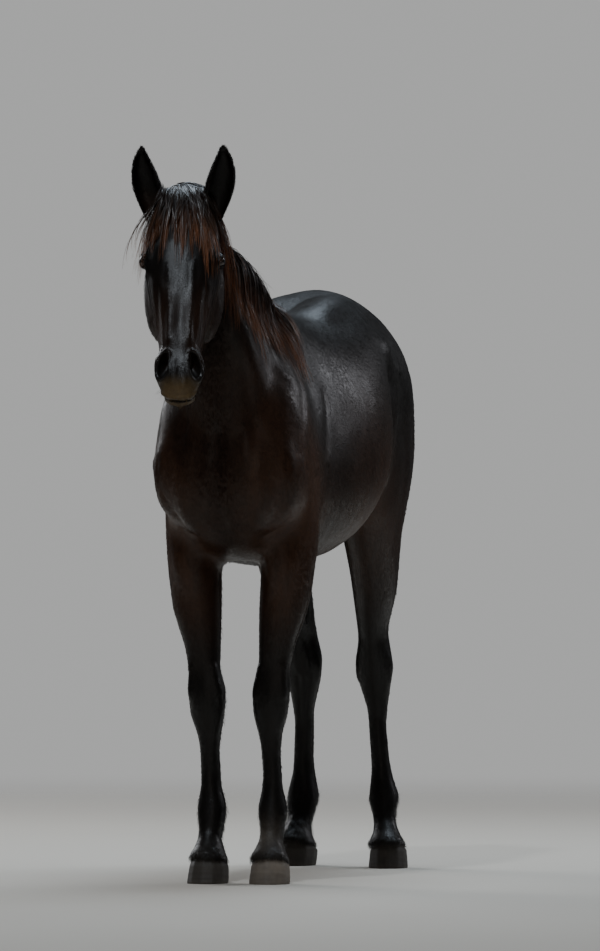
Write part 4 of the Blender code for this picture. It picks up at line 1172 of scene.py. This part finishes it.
def maneLocks():
    locks = []
    line = np.linspace(maneShape["from"], maneShape["to"], 60)
    crest = np.array([crestPoint(y) for y in line])
    smoothed = np.convolve(np.pad(crest[:, 2], 5, mode="edge"), np.ones(11) / 11, "valid")
    crest[:, 2] = np.maximum(crest[:, 2], smoothed)
    for k in range(maneShape["locks"]):
        t = (k + chance.random()) / maneShape["locks"]
        y = maneShape["from"] + (maneShape["to"] - maneShape["from"]) * t
        root = np.array([np.interp(y, line, crest[:, i]) for i in range(3)])
        root += (chance.uniform(-1, 1) * maneShape["root"], 0, -0.002)
        long = maneShape["length"] * (0.80 + 0.30 * math.sin(math.pi * min(1, t * 1.1)))
        long *= 0.74 + 0.42 * chance.random()
        long *= 0.36 + 0.64 * smoothStep(1.0, 0.76, t)
        if chance.random() < 0.14:
            long *= 0.50
        heading = (0.9, 0.15 + 0.45 * chance.random(), 0.20 - 0.18 * t)
        lift = 0.003 + 0.014 * chance.random() * smoothStep(0.0, 0.12, t) * smoothStep(1.06, 0.86, t)
        guide = np.array(fallStrand(root, heading, long, maneShape["steps"] - 1, 0.75, 0.25, lift))
        tone = chance.random()
        redTip = 0.14 + 0.85 * tone**1.6
        tipSpread = 0.002 + 0.007 * chance.random()
        shade = 0.15 + 0.5 * tone
        locks.append(lockOf(guide, maneShape["strands"], (0.0045, 0.0065, 0.003), tipSpread, 0.72, redTip, shade, 0.48))
    return locks


strands, values = gather(maneLocks())
mane = ribbons("mane_hair", strands, maneShape["width"], values, strands[:, 0], hairPaint)
print("mane:", len(strands), "strands")

forelockShape = {"strands": 17, "steps": 13, "width": 0.0014, "lift": 0.013, "sway": 0.005}
# how many locks, where they start (aside), where they end (aside, along) with the scatter of each, and how red
forelockFans = (
    (19, (-0.030, 0.014), (-0.072, 0.020), (0.180, 0.030), 0.45),
    (13, (-0.012, 0.014), (-0.026, 0.020), (0.140, 0.032), 0.40),
    (20, (0.010, 0.014), (0.022, 0.016), (0.175, 0.032), 0.60),
    (17, (0.028, 0.014), (0.056, 0.020), (0.185, 0.034), 0.65),
    (11, (0.040, 0.012), (0.088, 0.014), (0.215, 0.035), 0.55),
    (12, (-0.044, 0.010), (-0.118, 0.014), (0.200, 0.030), 0.90),
    (5, (0.048, 0.008), (0.118, 0.008), (0.200, 0.030), 0.70),
)


def faceFront(aside, along, before):
    hit = hairTree.ray_cast(Vector(onHead(aside, along, -0.25)), Vector(headBack))[0]
    if hit is None:
        return before + 0.004
    return max(-0.02, min(headPart(np.array([hit]))[0, 2], before + 0.018))


def forelockLocks():
    locks = []
    for count, start, aside, along, redTip in forelockFans:
        for _ in range(count):
            a0, a1 = chance.normal(*start), chance.normal(*aside)
            s0, s1 = chance.uniform(-0.012, 0.022), chance.normal(*along)
            lift = forelockShape["lift"] * (0.5 + chance.random())
            sway, phase = chance.normal(0, forelockShape["sway"]), chance.uniform(0, math.pi)
            points, behind = [], 0.03
            for t in np.linspace(0, 1, forelockShape["steps"]):
                a = a0 + (a1 - a0) * math.sin(t * math.pi / 2) ** 1.15 + sway * t * math.sin(4.2 * t + phase)
                s = s0 + (s1 - s0) * t
                behind = faceFront(a, s, behind)
                points.append(onHead(a, s, behind - 0.002 - lift * math.sin(math.pi * min(1.0, 0.12 + t)) - 0.003 * t))
            guide = np.array(points)
            for _ in range(2):
                guide[1:-1] = (guide[:-2] + 2 * guide[1:-1] + guide[2:]) / 4
            tone = chance.random()
            tipSpread = 0.0007 + 0.0025 * chance.random()
            red, shade = redTip * (0.5 + tone), 0.25 + 0.5 * tone
            locks.append(lockOf(guide, forelockShape["strands"], 0.0030, tipSpread, 0.70, red, shade, 0.30))
    return locks


strands, values = gather(forelockLocks())
forelock = ribbons("forelock_hair", strands, forelockShape["width"], values, strands[:, 0], hairPaint)

tailLine = np.array((  # aside, along, up, half width, half depth
    (0.000, 0.815, 1.440, 0.030, 0.028), (0.002, 0.900, 1.440, 0.034, 0.032), (0.008, 0.963, 1.405, 0.042, 0.040),
    (0.018, 1.000, 1.310, 0.048, 0.044), (0.028, 1.012, 1.170, 0.049, 0.050), (0.036, 1.008, 1.020, 0.045, 0.054),
    (0.040, 1.000, 0.880, 0.039, 0.053), (0.041, 0.994, 0.740, 0.036, 0.049), (0.041, 0.990, 0.620, 0.033, 0.043),
    (0.041, 0.990, 0.530, 0.029, 0.035), (0.041, 0.990, 0.465, 0.021, 0.024),
))
tailShape = {"locks": 170, "strands": 34, "steps": 17, "width": 0.0020}


def tailStrands():
    strands, roots, red, shades = [], [], [], []
    knots = np.linspace(0, 1, len(tailLine))
    for k in range(tailShape["locks"]):
        turn = chance.random() * 2 * math.pi
        rim = math.sqrt(chance.random())
        start = chance.uniform(0.0, 0.42) * (k % 3 > 0)
        stop = chance.uniform(0.70, 1.0) ** 0.6
        tone = chance.random()
        phase = chance.random() * 6
        for s in range(tailShape["strands"]):
            u = np.linspace(start, stop, tailShape["steps"])
            rows = np.stack([np.interp(u, knots, tailLine[:, i]) for i in range(5)], axis=1)
            local = np.linspace(0, 1, tailShape["steps"])
            t = turn + chance.normal(0, 0.16) + 0.25 * np.sin(local * 3 + phase)
            r = np.clip(rim + chance.normal(0, 0.10), 0, 1.0) * (0.72 + 0.26 * smoothStep(0, 0.35, local))
            r = r * (1.0 + 0.10 * np.sin(local * 9 + phase))
            ahead = unit(np.gradient(rows[:, 1:3], axis=0))
            out = np.stack([np.zeros(len(u)), -ahead[:, 1], ahead[:, 0]], axis=1)
            place = rows[:, :3].copy()
            place[:, 0] += np.cos(t) * r * rows[:, 3]
            place += out * (np.sin(t) * r * rows[:, 4])[:, None]
            strands.append(place)
            roots.append(place[0])
            red.append((0.02 + 0.18 * tone * smoothStep(0.5, 1.0, local)) * (0.5 + chance.random()))
            shades.append(np.clip(0.25 + 0.4 * tone + 0.25 * chance.standard_normal(), 0, 1))
    return np.array(strands), roots, np.clip(np.array(red), 0, 1), np.array(shades)


strands, roots, red, shades = tailStrands()
tail = ribbons("tail_hair", strands, tailShape["width"], {"red": red, "shade": shades}, roots, hairPaint)


whiskerShape = {"count": 150, "length": (0.012, 0.038), "steps": 6, "width": 0.0004}
lashShape = {"count": 34, "length": (0.006, 0.010)}


# whiskers on the chin and lashes on the upper lids
def fineHairs():
    strands = []
    u = np.linspace(0, 1, whiskerShape["steps"])[:, None]
    for _ in range(whiskerShape["count"]):
        side = chance.choice((-1, 1))
        low = onHead(side * chance.uniform(0.0, 0.045), chance.uniform(0.535, 0.60), chance.uniform(0.07, 0.125))
        hit, normal, _, _ = hairTree.find_nearest(Vector(low))
        long = chance.uniform(*whiskerShape["length"])
        heading = unit(np.array(normal) * 0.8 + np.array((0, -0.1, -0.6)) + 0.25 * chance.standard_normal(3))
        strands.append(np.array(hit) + heading * long * u + np.array((0, 0, -0.35)) * long * u**2)
    for side in (1, -1):
        out, along, up = eyeAxes(side)
        for a in np.linspace(-46, 50, lashShape["count"]):
            b = eyeShape["high"] * math.sqrt(max(0.0, 1 - (a / eyeShape["long"]) ** 2)) + 3
            aim = unit(out + along * math.tan(math.radians(a)) + up * math.tan(math.radians(b)))
            root = eyeMiddles[side] + aim * (eyeShape["radius"] + 0.003)
            long = chance.uniform(*lashShape["length"])
            heading = out * 0.9 + up * 0.10 + 0.1 * chance.standard_normal(3)
            strands.append(root + heading * long * u - up * 0.35 * long * u**2)
    return np.array(strands)


strands = fineHairs()
plain = {"red": np.zeros(len(strands)), "shade": np.full(len(strands), 0.2)}
whiskers = ribbons("whiskers", strands, whiskerShape["width"], plain, strands[:, 0], hairPaint)
print("long hair laid")

# eyes
eyeColours = {
    "irisDark": (0.014, 0.0065, 0.0035, 1.0),
    "irisPale": (0.040, 0.018, 0.008, 1.0),
    "rim": (0.016, 0.011, 0.009, 1.0),
    "pupil": (0.0012, 0.0012, 0.0018, 1.0),
}
eyePaint, tree, shader = newMaterial("eyeball", Roughness=0.07, Specular_IOR_Level=0.55)
iris = mixColour(tree, noiseNode(tree, 420.0, 3.0), eyeColours["irisDark"], eyeColours["irisPale"])
ball = mixColour(tree, attribute(tree, "ring"), iris, eyeColours["rim"])
ball = mixColour(tree, attribute(tree, "pupil"), ball, eyeColours["pupil"])
tree.links.new(ball, shader.inputs["Base Color"])
eyes = []
for side, name in ((1, "eyeball_left"), (-1, "eyeball_right")):
    bpy.ops.mesh.primitive_uv_sphere_add(
        segments=64, ring_count=40, radius=eyeShape["radius"], location=eyeMiddles[side]
    )
    eye = bpy.context.object
    eye.name = name
    pick(eye)
    bpy.ops.object.transform_apply(location=True)
    out, along, up = eyeAxes(side)
    places = cornersOf(eye)
    aim = unit(places - eyeMiddles[side])
    facing = aim @ out
    places += out * (0.0016 * smoothStep(0.72, 1.0, facing))[:, None]
    moveCorners(eye, places)
    a, b = aim @ along, aim @ up
    spread = np.sqrt((a / 1.15) ** 2 + b**2)
    setValues(eye, "ring", smoothStep(0.72, 0.82, spread))
    pupil = np.sqrt((a / 0.40) ** 2 + (b / 0.20) ** 2)
    setValues(eye, "pupil", smoothStep(1.08, 0.94, pupil) * (facing > 0))
    bpy.ops.object.shade_smooth()
    paintAll(eye, eyePaint)
    eyes.append(eye)

# hooves
hornColours = {
    "dark": (0.016, 0.0145, 0.0135, 1.0),
    "pale": (0.042, 0.037, 0.033, 1.0),
    "dust": (0.30, 0.25, 0.20, 1.0),
}
hoofPaint, tree, shader = newMaterial("hoofHorn", Specular_IOR_Level=0.4)
cloud = noiseNode(tree, 26.0, 4.0)
streak = noiseNode(tree, 160.0, 2.0, (1.0, 1.0, 0.08))
fleck = noiseNode(tree, 300.0, 2.0)
dusty = maths(tree, "MULTIPLY", attribute(tree, "dust"), maths(tree, "ADD", 0.35, cloud))
horn = mixColour(tree, streak, hornColours["dark"], hornColours["pale"])
horn = mixColour(tree, dusty, horn, hornColours["dust"])
tree.links.new(horn, shader.inputs["Base Color"])
tree.links.new(maths(tree, "ADD", 0.42, maths(tree, "MULTIPLY", cloud, 0.35)), shader.inputs["Roughness"])
addBump(tree, shader, maths(tree, "ADD", streak, maths(tree, "MULTIPLY", fleck, 0.4)), 0.35, 0.0008)
hoofShape = {"voxel": 0.0030, "ringGap": 0.0090, "ringDepth": 0.00022, "shoulder": 0.0075}
hoofDust = {"hoof_front_left": 0.75, "hoof_front_right": 0.14, "hoof_hind_left": 0.10, "hoof_hind_right": 0.10}
hooves = []
for name in hoofNames:
    hoof = nodeCopy(name, name.replace("hoof_", "horn_"), 0.0)
    remesh = hoof.modifiers.new("remesh", "REMESH")
    remesh.mode = "VOXEL"
    remesh.voxel_size = hoofShape["voxel"]
    soft = hoof.modifiers.new("soft", "SMOOTH")
    soft.iterations = 14
    soft.factor = 0.7
    applyAll(hoof)
    places, normals = cornersOf(hoof), normalsOf(hoof)
    low, high = places.min(axis=0), places.max(axis=0)
    t = places[:, 2] / high[2]
    slope = (places[:, 1] - low[1]) / (high[1] - low[1])
    ringPlace = (places[:, 2] + 0.016 * slope) / hoofShape["ringGap"]
    ringPlace += 0.5 * np.sin(places[:, 2] * 140)
    wall = smoothStep(0.004, 0.010, places[:, 2]) * smoothStep(0.98, 0.85, t)
    places += normals * (hoofShape["ringDepth"] * np.sin(ringPlace * 2 * math.pi) * wall)[:, None]
    inset = hoofShape["shoulder"] * smoothStep(0.62, 1.0, t)
    places[:, :2] -= normals[:, :2] * inset[:, None]
    places[:, 2] = np.where(places[:, 2] < 0.0022, 0.0, places[:, 2])
    moveCorners(hoof, places)
    pick(hoof)
    bpy.ops.object.shade_smooth_by_angle(angle=math.radians(50))
    dusty = hoofDust[name] * (1.0 - 0.35 * smoothStep(0.5, 0.0, t)) + 0.12 * smoothStep(0.25, 0.0, t)
    setValues(hoof, "dust", np.clip(dusty, 0, 1))
    paintAll(hoof, hoofPaint)
    hooves.append(hoof)
print("eyes and hooves made")

# everything rides on the one body
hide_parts(*fleshNodes, "ear_left", "ear_right")
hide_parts("mane")
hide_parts("forelock")
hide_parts("tail")
for piece, node in zip(eyes, ("eye_left", "eye_right")):
    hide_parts(node)
for piece, node in zip(hooves, hoofNames):
    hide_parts(node)
for piece in (skin, *coats, mane, forelock, tail, whiskers, *eyes, *hooves):
    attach(piece, "root")
